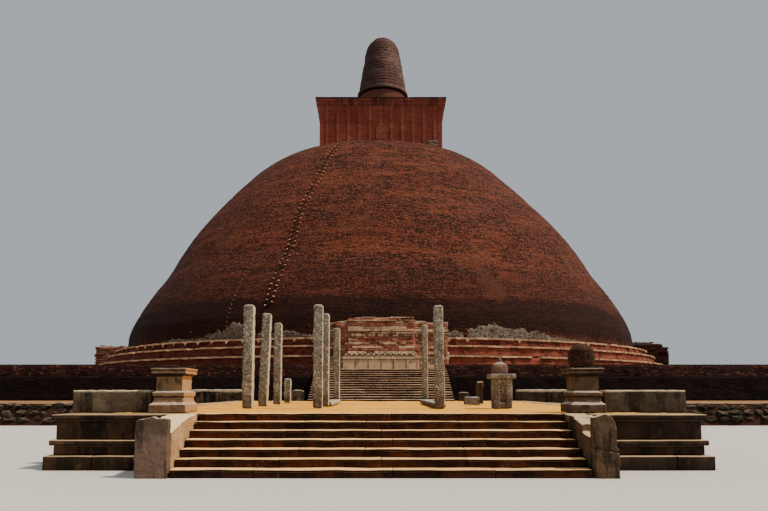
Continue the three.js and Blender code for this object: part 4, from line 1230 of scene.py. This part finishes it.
altar = {
    "inset": 0.014, "panels": 6, "panelLow": 0.3225, "panelHigh": 0.4875, "panelJoint": 0.004,
    "panelIn": 0.030, "stile": 0.018, "stileIn": 0.024, "thickness": 0.06, "footHeight": 0.034,
    "sillHeight": 0.017, "slabLow": 0.489, "slabHigh": 0.512, "curlHigh": 0.530, "scallops": 26,
    "scallopMiddle": 0.539, "scallopStep": 0.012, "scallop": (0.026, 0.05, 0.017), "scallopTilt": 0.6,
    "sills": ((-0.40, -0.13), (0.085, 0.385)),
}
altarCourses = {
    "foot": {"length": 0.16, "depth": 0.07}, "slab": {"length": 0.15, "depth": 0.07},
    "curl": {"length": 0.07, "depth": 0.05},
}


def altarSpots():
    rng = random.Random(61)
    low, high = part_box("altar_front")
    half = high.x - altar["inset"]
    face = low.y + 0.012

    def course(past, out, bottom, top, kind):  # across the whole front
        ends = (-half - past, face - out), (half + past, face - out)
        return layCourse(rng, *ends, bottom, top, altarCourses[kind])

    spots = course(0.012, 0.006, low.z, low.z + altar["footHeight"], "foot")
    edges = []
    for start, end in altar["sills"]:  # what is left of the pale sill before the altar
        edges += layCourse(rng, (start, face - 0.02), (end, face - 0.02), low.z, low.z + altar["sillHeight"],
                           altarCourses["foot"])
    pitch = 2 * half / altar["panels"]
    middle = (altar["panelLow"] + altar["panelHigh"]) / 2
    tall = altar["panelHigh"] - altar["panelLow"]
    panel = (pitch - altar["panelJoint"], altar["thickness"], tall)
    stile = (altar["stile"], altar["thickness"], tall)
    for k in range(altar["panels"]):
        x = -half + pitch * (k + 0.5)
        spots.append(((x, face + altar["panelIn"], middle), panel, (0, 0, 0)))
        spots.append(((x - pitch / 2 + 0.012, face + altar["stileIn"], middle), stile, (0, 0, 0)))
    spots.append(((half - 0.010, face + altar["stileIn"], middle), stile, (0, 0, 0)))
    spots += course(0.006, 0.008, altar["slabLow"], altar["slabHigh"], "slab")
    spots += course(-0.01, -0.014, altar["slabHigh"], altar["curlHigh"], "curl")
    for k in range(altar["scallops"]):
        x = -half + 0.02 + (2 * half - 0.04) * (k + 0.5) / altar["scallops"]
        lift = altar["scallopMiddle"] + (altar["scallopStep"] if k % 2 else 0.0)
        tilt = altar["scallopTilt"] if k % 2 else -altar["scallopTilt"]
        edges.append(((x, face + 0.02, lift), altar["scallop"], (0, tilt, 0)))
    return spots, edges


altarSlabs, altarEdges = altarSpots()
mountPiece(layStones("altarSlabs", altarSlabs, dressedHeap, altarStone, 14), "stone", "altar_front")
mountPiece(layStones("altarEdges", altarEdges, dressedHeap, paleStone, 18), "stone")
print("stage: frontispieces built")


# Terraces: rough brick facings, worn copings and a dry rubble wall over the CAD solids

terraces = {
    "wallRough": 0.006, "bite": 0.006, "sag": 0.010, "proud": 0.016, "fineStep": 0.014, "plainStep": 0.06,
    "fineHalf": 2.8, "setback": 0.04, "low": (0.099, 0.243), "high": (0.238, 0.309),
    "fineRows": (14, 7), "plainRows": (4, 2), "copingBand": (0.299, 0.319),
    "coping": {"length": 0.11, "depth": 0.075, "proud": 0.012, "keep": 0.82, "jitter": 0.006},
    "rubbleLength": 0.055, "rubbleDepth": 0.05, "rubbleHeight": 0.034, "rubbleInset": 0.012, "batter": 0.3,
    "rubbleOverlap": 0.92, "farStretch": 4.0, "rubbleRows": (0.024, 0.054, 0.083),
}
for node in ("lower_terrace", "upper_terrace"):
    paint(frame["nodes"][node], terracePaving)
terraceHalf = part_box("upper_terrace")[1].x


def wallFacing(name, start, end, face, band, rows, near, seed):
    low, high = band
    drift = Vector((seed * 4.0, 0, 0))
    loops = []
    x = start
    while x < end - 0.001:
        loop = [Vector((x, -face + 0.03, low))]
        for r in range(rows + 1):
            z = low + (high - low) * r / rows
            p = Vector((x, -face, z))
            lump = softNoise(p + drift, 0.09, 4) * terraces["wallRough"]
            bite = max(0.0, softNoise(p + drift, 0.5, 3)) * terraces["bite"]
            sag = terraces["sag"] * max(0.0, softNoise(Vector((x, seed, 0)), 0.2, 3)) if r == rows else 0.0
            loop.append(Vector((x, -face - terraces["proud"] + lump + bite, z - sag)))
        loop.append(Vector((x, -face + 0.03, high)))
        loops.append(loop)
        x += terraces["fineStep"] if near and abs(x) < terraces["fineHalf"] else terraces["plainStep"]
    loops.append([Vector((end, p.y, p.z)) for p in loops[-1]])
    return rowsPiece(name, loops)


def upperWalls():
    walls = []
    gap = upperHigh.x + 0.001
    for side, turns in quarterTurns.items():
        near = side == "front"
        lowRows, highRows = terraces["fineRows" if near else "plainRows"]
        for number, (start, end) in enumerate(((-terraceHalf, -gap), (gap, terraceHalf))):
            lower = wallFacing("low", start, end, terraceHalf, terraces["low"],
                               lowRows, near, turns + number * 9)
            upper = wallFacing("high", start, end, terraceHalf - terraces["setback"], terraces["high"],
                               highRows, near, turns + 30)
            walls += [lower, upper]
            for wall in (lower, upper):
                wall.data.transform(spin(turns))
    return joinPieces("upperTerraceFacing", walls)


mountPiece(paint(upperWalls(), retainingBrick), "terrace_brick")


def terraceCoping():
    rng = random.Random(71)
    half = terraceHalf - terraces["setback"]
    gap = upperHigh.x + 0.004
    row = []
    for start, end in ((-half, -gap), (gap, half)):
        row += layCourse(rng, (start, -half), (end, -half), *terraces["copingBand"], terraces["coping"])
    return onEverySide(row)


mountPiece(layStones("terraceCoping", terraceCoping(), roughHeap, retainingBrick, 15), "terrace_brick")


def lowerRubble():
    rng = random.Random(81)
    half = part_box("lower_terrace")[1].x
    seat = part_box("gatehouse_floor")[1].x + 0.04
    spots = []
    for turns in range(4):
        stretch = terraces["farStretch"] if turns else 1.0
        for level in terraces["rubbleRows"]:
            for x, end in ((-half, -seat), (seat, half)):
                while x < end:
                    length = terraces["rubbleLength"] * stretch * rng.uniform(0.6, 1.6)
                    size = (length, terraces["rubbleDepth"] * rng.uniform(0.8, 1.3),
                            terraces["rubbleHeight"] * rng.uniform(0.8, 1.2))
                    out = half - terraces["rubbleInset"] - level * terraces["batter"]
                    out += rng.uniform(-0.008, 0.008)
                    middle = (x + length / 2, -out, level + rng.uniform(-0.004, 0.006))
                    turn = (rng.uniform(-0.2, 0.2), rng.uniform(-0.15, 0.15),
                            rng.uniform(-0.3, 0.3) / stretch)
                    spots += turnSpots([(middle, size, turn)], turns)
                    x += length * terraces["rubbleOverlap"]
    return spots


mountPiece(grounded(layStones("lowerRubble", lowerRubble(), roughHeap, rubbleStone, 16)), "rubble")
print("stage: terraces built")


# Blocks with a grid on each face, rounded at their edges and uneven all over

unevenness = ((26, 0.35), (90, 0.15))  # waves per metre and their share of the rounding


def wornBlock(body, low, high, cut, drift):
    size = high - low
    edges = [min(cut["rounding"], size[k] * 0.4) for k in range(3)]
    axes = []
    for k in range(3):
        inner = max(1, round((size[k] - 2 * edges[k]) / cut["cell"]))
        lead = [edges[k] * share for share in cut["lead"]]
        middle = [edges[k] + (size[k] - 2 * edges[k]) * i / inner for i in range(1, inner)]
        axes.append([*lead, *middle, *[size[k] - v for v in reversed(lead)]])
    made = {}

    def corner(index):
        if index not in made:
            p = Vector([axes[a][index[a]] for a in range(3)])
            near = Vector([min(max(p[a], edges[a]), size[a] - edges[a]) for a in range(3)])
            away = p - near
            if away.length > 1e-9:
                p = near + away.normalized() * max(abs(v) for v in away)
            p += low
            coarse, fine = (noise.noise_vector(p * waves + drift) * share for waves, share in unevenness)
            made[index] = body.verts.new(p + (coarse + fine) * cut["rounding"])
        return made[index]

    for axis in range(3):
        u, v = (axis + 1) % 3, (axis + 2) % 3
        for end in (0, len(axes[axis]) - 1):
            for i in range(len(axes[u]) - 1):
                for j in range(len(axes[v]) - 1):
                    quad = []
                    for di, dj in ((0, 0), (1, 0), (1, 1), (0, 1)):
                        index = [0, 0, 0]
                        index[axis], index[u], index[v] = end, i + di, j + dj
                        quad.append(corner(tuple(index)))
                    body.faces.new(quad if end else list(reversed(quad)))


def blocksPiece(name, blocks, cut, seed):
    body = bmesh.new()
    tone = body.verts.layers.float.new("tone")
    rng = random.Random(seed)
    for low, high in blocks:
        before = len(body.verts)
        wornBlock(body, Vector(low), Vector(high), cut, Vector((rng.uniform(0, 40), seed, 0)))
        body.verts.ensure_lookup_table()
        shade = rng.random()
        for vertex in body.verts[before:]:
            vertex[tone] = shade
    mesh = meshFrom(body, name)
    mesh.shade_smooth()
    return bpy.data.objects.new(name, mesh)


# Flights: Geometry Nodes repeat three courses of nosed step stones up each flight

def flightTree():
    sockets = {"Start": "Geometry", "Courses": "Collection", "Steps": "Int", "Tread": "Float",
               "Rise": "Float", "Wear": "Float", "Finish": "Material"}
    tree, given = newTree("stepFlight", sockets, "Flight")
    offset = addNode(tree, "ShaderNodeCombineXYZ", None, {"Y": given["Tread"], "Z": given["Rise"]})
    line = addNode(tree, "GeometryNodeMeshLine", None, {
        "Count": given["Steps"], "Offset": offset.outputs["Vector"]})
    courses = addNode(tree, "GeometryNodeCollectionInfo", {"transform_space": "ORIGINAL"}, {
        "Collection": given["Courses"], "Separate Children": True, "Reset Children": True})
    steps = addNode(tree, "GeometryNodeInstanceOnPoints", None, {
        "Points": line.outputs["Mesh"], "Instance": courses.outputs["Instances"], "Pick Instance": True})
    real = addNode(tree, "GeometryNodeRealizeInstances", None, {"Geometry": steps.outputs["Instances"]})
    place = addNode(tree, "GeometryNodeInputPosition")
    wave = addNode(tree, "ShaderNodeTexNoise", None, {
        "Vector": place.outputs["Position"], "Scale": 14.0, "Detail": 3.0})
    centred = addNode(tree, "ShaderNodeVectorMath", {"operation": "SUBTRACT"}, {
        0: wave.outputs["Color"], 1: (0.5, 0.5, 0.5)})
    pushed = addNode(tree, "ShaderNodeVectorMath", {"operation": "SCALE"}, {
        0: centred.outputs["Vector"], "Scale": given["Wear"]})
    worn = addNode(tree, "GeometryNodeSetPosition", None, {
        "Geometry": real.outputs["Geometry"], "Offset": pushed.outputs["Vector"]})
    done = addNode(tree, "GeometryNodeSetMaterial", None, {
        "Geometry": worn.outputs["Geometry"], "Material": given["Finish"]})
    addNode(tree, "NodeGroupOutput", None, {"Flight": done.outputs["Geometry"]})
    return tree


stepTree = flightTree()
stepJoint = {"beside": 0.0002, "above": 0.0003, "slip": 0.0012, "stray": 0.3}


def stepCourses(name, flight):
    rng = random.Random(flight["seed"])
    courses = bpy.data.collections.new(name)
    rise, depth, seam = flight["rise"], flight["depth"], flight["rise"] - flight["slab"]
    count, stray, beside = flight["stones"], stepJoint["stray"], stepJoint["beside"]
    for number in range(3):
        inner = [(k + rng.uniform(-stray, stray)) / count for k in range(1, count)]
        blocks = []
        for a, b in zip([0.0, *inner], [*inner, 1.0]):
            left, right = flight["half"] * (2 * a - 1) + beside, flight["half"] * (2 * b - 1) - beside
            slip = rng.uniform(0.0, stepJoint["slip"])
            blocks.append(((left, slip, seam), (right, depth, rise - stepJoint["above"])))
            blocks.append(((left, flight["nose"] + slip, 0.0), (right, depth, seam)))
        courses.objects.link(blocksPiece(f"{name}{number}", blocks, flight, flight["seed"] + number))
    bpy.context.scene.collection.children.link(courses)
    return courses


def buildFlight(name, flight, finish):
    courses = stepCourses(name + "Course", flight)
    piece = runTree(linked(name, bpy.data.meshes.new(name)), stepTree, {
        "Courses": courses, "Steps": flight["steps"], "Tread": flight["tread"], "Rise": flight["rise"],
        "Wear": flight["wear"], "Finish": finish})
    clearHeap(courses)
    piece.data.transform(Matrix.Translation(flight["place"]))
    piece.data.shade_smooth()
    return piece


floorLow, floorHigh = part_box("gatehouse_floor")
stairLow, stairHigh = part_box("front_stair")
frontFlight = {
    "steps": 7, "stones": 4, "seed": 21, "half": stairHigh.x - 0.001, "tread": (stairHigh.y - stairLow.y) / 6,
    "rise": floorHigh.z / 7, "depth": 0.042, "nose": 0.0016, "slab": 0.0042, "wear": 0.0035,
    "rounding": 0.0016, "lead": (0.0, 0.35, 1.0), "cell": 0.02, "place": (0, stairLow.y + 0.003, 0),
}
plainFlight = {**frontFlight, "stones": 2, "lead": (0.0, 1.0), "cell": 0.08}
frontSteps = grounded(buildFlight("frontSteps", frontFlight, stepStone))
plainSteps = grounded(buildFlight("plainSteps", plainFlight, stepStone))

upperFlight = {
    "steps": 14, "stones": 4, "seed": 22, "half": upperHigh.x - 0.001,
    "tread": (upperHigh.y - 0.05 - upperLow.y) / 13, "rise": (upperHigh.z - upperLow.z) / 14, "depth": 0.06,
    "nose": 0.003, "slab": 0.0052, "wear": 0.006, "rounding": 0.0018, "lead": (0.0, 1.0), "cell": 0.05,
    "place": (0, upperLow.y + 0.0015, upperLow.z),
}
upperCore = {"swell": 0.003, "seed": 6, "behind": (0, 0.012, -0.010), "narrowing": 0.985}


def upperStair(name, flight, voxel):
    core = weatheredCopy(name + "Core", ["upper_stair_front"], {**upperCore, "voxel": voxel})
    narrower = Matrix.Scale(upperCore["narrowing"], 4, (1, 0, 0))
    core.data.transform(Matrix.Translation(upperCore["behind"]) @ narrower)
    steps = buildFlight(name + "Steps", flight, upperStepStone)
    return joinPieces(name, [steps, paint(core, retainingBrick)])


def repeatPlain(piece, name, node):  # the same on the three sides that have no pillars
    for side in plainSides:
        twin = copyPiece(piece, name + side, spin(quarterTurns[side]))
        mountPiece(grounded(twin), "stone", node + side)
    bpy.data.objects.remove(piece)


mountPiece(upperStair("upperFlight_front", upperFlight, 0.016), "stone", "upper_stair_front")
plainStair = upperStair("plainStair", {**upperFlight, "stones": 2, "cell": 0.1}, 0.03)
repeatPlain(plainStair, "upperFlight_", "upper_stair_")
print("stage: flights built")


# Gatehouse floor: moulded slabs round a sanded top

porch = {
    "mouldings": [  # from, to, how far they stand out, mean length of their stones
        (0.0, 0.0295, 0.017, 0.17), (0.0295, 0.0495, 0.003, 0.25), (0.0495, 0.061, 0.010, 0.19),
        (0.061, 0.1015, 0.0, 0.21), (0.1015, 0.113, 0.008, 0.23)],
    "cut": {"cell": 0.03, "rounding": 0.0022, "lead": (0.0, 1.0)}, "depth": 0.07, "gap": 0.0007,
    "sideInset": 0.0012, "lastStone": 1.3, "sandStep": 0.022, "sandWave": 0.0015, "sandDepth": 0.0018,
    "sandThickness": 0.01, "sandMargin": 0.028, "sillReach": 0.034, "sillThickness": 0.03,
}


def edgeStones(rng, start, end, meanLength):
    cuts = [start]
    while cuts[-1] < end - meanLength * porch["lastStone"]:
        cuts.append(cuts[-1] + meanLength * rng.uniform(0.75, 1.25))
    cuts.append(end)
    return list(zip(cuts, cuts[1:]))


def porchBlocks(rng, stretch, recesses):
    out = max(moulding[2] for moulding in porch["mouldings"])
    front = floorLow.y + out
    gap, depth = porch["gap"], porch["depth"]
    blocks = []
    for bottom, top, proud, length in porch["mouldings"]:
        top -= gap / 2
        for side, recess in recesses:
            wall = (floorHigh.x if side > 0 else -floorLow.x) - out
            for a, b in edgeStones(rng, recess + 0.001, wall + proud, length * stretch):
                left, right = sorted((side * a, side * b))
                slip = rng.uniform(0.0005, 0.002)
                blocks.append(((left + gap, front - proud + slip, bottom), (right - gap, front + depth, top)))
            for a, b in edgeStones(rng, front + depth, floorHigh.y - 0.001, length * stretch):
                left, right = sorted((side * (wall + proud - porch["sideInset"]), side * (wall - depth)))
                blocks.append(((left, a + gap, bottom), (right, b - gap, top)))
    return blocks


def sandedTop(name, low, high, step):
    columns, rows = round((high.x - low.x) / step), round((high.y - low.y) / step)
    built = []
    for r in range(rows + 1):
        row = []
        for c in range(columns + 1):
            p = Vector((low.x + (high.x - low.x) * c / columns, low.y + (high.y - low.y) * r / rows, high.z))
            row.append(p + Vector((0, 0, porch["sandWave"] * softNoise(p, 0.12, 4) - porch["sandDepth"])))
        built.append(row)
    return thicken(rowsPiece(name, built, "open"), porch["sandThickness"])


def porchFloor(name, seed, stretch, recesses):
    cut = {**porch["cut"], "cell": porch["cut"]["cell"] * stretch}
    blocks = porchBlocks(random.Random(seed), stretch, recesses)
    stones = paint(blocksPiece(name + "Stones", blocks, cut, seed), porchStone)
    margin = porch["mouldings"][0][2] + porch["depth"] - 0.002
    inner = {-1: -floorLow.x - margin, 1: floorHigh.x - margin}
    back, top = stairHigh.y, floorHigh.z
    sandLow = Vector((-inner[-1], back + porch["sandMargin"], 0))
    sandHigh = Vector((inner[1], floorHigh.y - 0.0015, top))
    sand = paint(sandedTop(name + "Sand", sandLow, sandHigh, porch["sandStep"] * stretch), sandFloor)
    bottom, reach = top - porch["sillThickness"], back + porch["sillReach"]
    strip = []
    for side, recess in recesses:
        left, right = sorted((side * recess, side * (stairHigh.x + 0.002)))
        strip.append(((left, back + 0.001, bottom), (right, reach, top - 0.0005)))
        left, right = sorted((side * recess, side * inner[side]))
        strip.append(((left, floorLow.y + margin + 0.002, bottom), (right, reach, top - 0.0008)))
    sill = paint(blocksPiece(name + "Sill", strip, cut, seed + 1), porchStone)
    return grounded(joinPieces(name, [stones, sand, sill]))


leftRecess, rightRecess = -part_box("balustrade_left")[0].x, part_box("balustrade_right")[1].x
rampWear = {"voxel": 0.0023, "swell": 0.0015, "seed": 1}
plainRamp = paint(weatheredCopy("plainRamp", ["balustrade_left"], {**rampWear, "voxel": 0.009}), rampStone)
plainFloor = porchFloor("plainFloor", 92, 3.2, [(-1, leftRecess), (1, leftRecess)])
rampTwin = copyPiece(plainRamp, "plainRampTwin", Matrix.Scale(-1, 4, (1, 0, 0)))
plainPorch = joinPieces("gatehousePlain", [plainFloor, plainSteps, rampTwin, plainRamp])
repeatPlain(plainPorch, "gatehousePlain_", "gatehouse_")
frontFloor = porchFloor("gatehouseFloor", 91, 1.0, [(-1, leftRecess), (1, rightRecess)])
mountPiece(frontFloor, "stone", "gatehouse_floor")
mountPiece(frontSteps, "stone", "front_stair")
leftRamp = weatheredCopy("balustradeLeftWorn", ["balustrade_left"], rampWear)
mountPiece(grounded(paint(leftRamp, rampStone)), "stone", "balustrade_left")
roughWear = {**rampWear, "swell": 0.002, "fine": 0.6}
rightRamp = weatheredCopy("balustradeRightWorn", ["balustrade_right"], roughWear)
mountPiece(grounded(paint(rightRamp, shadedGuardStone)), "stone", "balustrade_right")
print("stage: gatehouse floors built")


# Standing stones of the front gatehouse

wornSets = [  # piece, CAD nodes, voxel, unevenness, finish, slot
    ("guardStoneLeft", ["guard_stone_left"], 0.0019, 0.0011, guardStone, "stone"),
    ("guardStoneRight", ["guard_stone_right"], 0.0019, 0.0013, shadedGuardStone, "stone"),
    ("pedestalLeft", ["pedestal_left"], 0.0019, 0.0009, pedestalStone, "stone"),
    ("pedestalRight", ["pedestal_right"], 0.0019, 0.0009, pedestalStone, "stone"),
    ("nearParapets", ["near_parapet_left", "near_parapet_right"], 0.0030, 0.0016, parapetStone, "stone"),
    ("farParapets", ["far_parapet_left", "far_parapet_right"], 0.0042, 0.0020, farParapetStone, "stone"),
    ("pillarStubLeft", ["pillar_stub_left"], 0.0026, 0.0024, pillarStone, "grey_stone"),
    ("pillarStubRight", ["pillar_stub_right"], 0.0026, 0.0036, shadedGuardStone, "grey_stone"),
    ("curbs", ["curb_left", "curb_right"], 0.0050, 0.0014, pillarStone, "grey_stone"),
    ("upperGuardStones", ["upper_guard_left", "upper_guard_right"], 0.0030, 0.0014, parapetStone,
     "grey_stone"),
    ("fallenBlock", ["fallen_block"], 0.0024, 0.0026, pillarStone, "grey_stone"),
]
seams = {  # where a groove runs: height at the origin, fall along X, half width, depth
    "guardStoneRight": (0.1000, 0.117, 0.0024, 0.0034),
    "pedestalLeft": (0.2045, 0.0, 0.0021, 0.0026),
    "pedestalRight": (0.2045, 0.0, 0.0021, 0.0026),
}


def scored(piece, seam):  # a crack or a joint pressed into the skin
    level, fall, reach, depth = seam
    outward = [Vector((vertex.normal.x, vertex.normal.y, 0)) for vertex in piece.data.vertices]
    for vertex, aside in zip(piece.data.vertices, outward):
        away = abs(vertex.co.z - level + fall * vertex.co.x) / reach
        if away < 1 and aside.length > 0.5:
            vertex.co -= aside.normalized() * depth * (1 - away)
    return piece


for number, (name, nodes, voxel, swell, finish, slotName) in enumerate(wornSets):
    worn = weatheredCopy(name, nodes, {"voxel": voxel, "swell": swell, "seed": 10 + number, "smoothing": 1})
    if name in seams:
        scored(worn, seams[name])
    mountPiece(grounded(paint(worn, finish)), slotName, *nodes)
pillarWear = {"voxel": 0.0032, "swell": 0.0013, "fine": 0.8, "smoothing": 1}
pillarNodes = sorted(node for node in frame["nodes"] if node.startswith(("pillar_inner", "pillar_outer")))
for number, node in enumerate(pillarNodes):
    worn = weatheredCopy(node.replace("pillar", "hewn"), [node], {**pillarWear, "seed": 30 + number})
    mountPiece(paint(worn, pillarStone), "grey_stone", node)


# Turned stones: the fluted ball and the pot on the small pedestal

turnedStones = {
    "ball": {"columns": 96, "step": 0.0016, "ribs": 9, "ribDepth": 0.05, "wear": 0.0008},
    "pot": {"columns": 72, "step": 0.0012, "ribs": 0, "ribDepth": 0.0, "wear": 0.0006},
}
carvedShaft = {
    "cornerWidth": 0.016, "recess": 0.010, "slabFoot": 0.081, "slabThickness": 0.0125, "slabInset": 0.0032,
    "shaftInset": 0.0122, "potFoot": 0.0945, "bandBelow": 0.016, "bandAbove": 0.014,
    "cut": {"cell": 0.006, "rounding": 0.0022, "lead": (0.0, 0.4, 1.0)},
}


def turnedStone(name, node, foot, look):
    above = [v.co for v in frame["nodes"][node].data.vertices if v.co.z > foot]
    middle = Vector([(min(p[k] for p in above) + max(p[k] for p in above)) / 2 for k in range(2)])
    profile = [(z, widest) for z, _, widest in profileOf(node, middle) if z > foot]
    rows = []
    z = profile[0][0] + 0.0002
    while z < profile[-1][0] - 0.0004:
        def insetAt(p, ray):
            rib = 0.5 + 0.5 * math.cos(math.atan2(ray.y, ray.x) * look["ribs"] * 2)
            fluting = look["ribDepth"] * radiusAt(profile, z) * rib ** 4
            return fluting + look["wear"] * (1 + softNoise(p, 0.012, 3))

        rows.append(roundRow(middle, z, radiusAt(profile, z), look["columns"], insetAt))
        z += look["step"]
    rows.append(roundRow(middle, profile[-1][0] - 0.0003, 0.0015, look["columns"], lambda p, ray: 0.0))
    return rowsPiece(name, rows)


def carvedShaftBlocks():
    low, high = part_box("carved_pedestal")
    base, slab = low.z, low.z + carvedShaft["slabFoot"]
    inset, brim = carvedShaft["shaftInset"], carvedShaft["slabInset"]
    left, right, front, back = low.x + inset, high.x - inset, low.y + inset, high.y - inset
    corner = carvedShaft["cornerWidth"]
    bandLeft, bandRight, bandFront = left + corner * 0.6, right - corner * 0.6, front + 0.001
    slabTop = slab + carvedShaft["slabThickness"]
    return [
        ((left, front, base), (left + corner, back, slab)),
        ((right - corner, front, base), (right, back, slab - 0.001)),
        ((left + corner - 0.002, front + carvedShaft["recess"], base), (right - corner + 0.002, back, slab)),
        ((bandLeft, bandFront, base), (bandRight, back, base + carvedShaft["bandBelow"])),
        ((bandLeft, bandFront, slab - carvedShaft["bandAbove"]), (bandRight, back, slab)),
        ((low.x + brim, low.y + brim, slab), (high.x - brim, high.y - brim, slabTop)),
    ]


ball = paint(turnedStone("stoneBall", "stone_ball", 0.0, turnedStones["ball"]), ballStone)
mountPiece(ball, "grey_stone", "stone_ball")
shaft = paint(blocksPiece("carvedShaft", carvedShaftBlocks(), carvedShaft["cut"], 27), pillarStone)
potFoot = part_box("carved_pedestal")[0].z + carvedShaft["potFoot"]
pot = paint(turnedStone("carvedPot", "carved_pedestal", potFoot, turnedStones["pot"]), potStone)
mountPiece(joinPieces("carvedPedestal", [shaft, pot]), "grey_stone", "carved_pedestal")
print("stage: standing stones built")


# Floor, light and camera

for heap in (dressedHeap, roughHeap, wedgeHeap):
    clearHeap(heap)

studio = {
    "floorHalf": 90.0, "floorColour": "#cfcac1", "floorRoughness": 0.95, "skyColour": "#dfe6ee",
    "skyStrength": 0.6, "sunStrength": 4.6, "sunSoftness": 5.0, "sunTowards": (0.56, -0.16, 0.81),
    "sunColour": "#fff2e0", "eye": (0.0, -12.2, 0.163), "pitch": 5.0, "focalPixels": 620.0, "frameWidth": 768,
    "horizonShift": 0.1045, "sideShift": 0.004, "sensor": 36.0, "farthest": 300.0,
}
half = studio["floorHalf"]
floorCorners = [(-half, -half, 0), (half, -half, 0), (half, half, 0), (-half, half, 0)]
floor = newPiece("studioFloor", floorCorners, [(0, 1, 2, 3)], shell=False)
paper = bpy.data.materials.new("studioPaper")
paper.use_nodes = True
paperInputs = paper.node_tree.nodes["Principled BSDF"].inputs
paperInputs["Base Color"].default_value = srgb(studio["floorColour"])
paperInputs["Roughness"].default_value = studio["floorRoughness"]
paint(floor, paper)

world = bpy.data.worlds.new("studioSky")
bpy.context.scene.world = world
world.use_nodes = True
skyInputs = world.node_tree.nodes["Background"].inputs
skyInputs["Color"].default_value = srgb(studio["skyColour"])
skyInputs["Strength"].default_value = studio["skyStrength"]

sunLamp = bpy.data.lights.new("sun", "SUN")
sunLamp.energy = studio["sunStrength"]
sunLamp.angle = math.radians(studio["sunSoftness"])
sunLamp.color = srgb(studio["sunColour"])[:3]
linked("sun", sunLamp).rotation_euler = Vector(studio["sunTowards"]).to_track_quat("Z", "Y").to_euler()

cameraData = bpy.data.cameras.new("camera")
cameraData.sensor_width = studio["sensor"]
cameraData.lens = studio["focalPixels"] / studio["frameWidth"] * cameraData.sensor_width
cameraData.shift_x = studio["sideShift"]
cameraData.shift_y = studio["horizonShift"]
cameraData.clip_end = studio["farthest"]
camera = linked("camera", cameraData)
camera.location = studio["eye"]
camera.rotation_euler = (math.radians(90 + studio["pitch"]), 0, 0)
bpy.context.scene.camera = camera
print("stage: studio set")
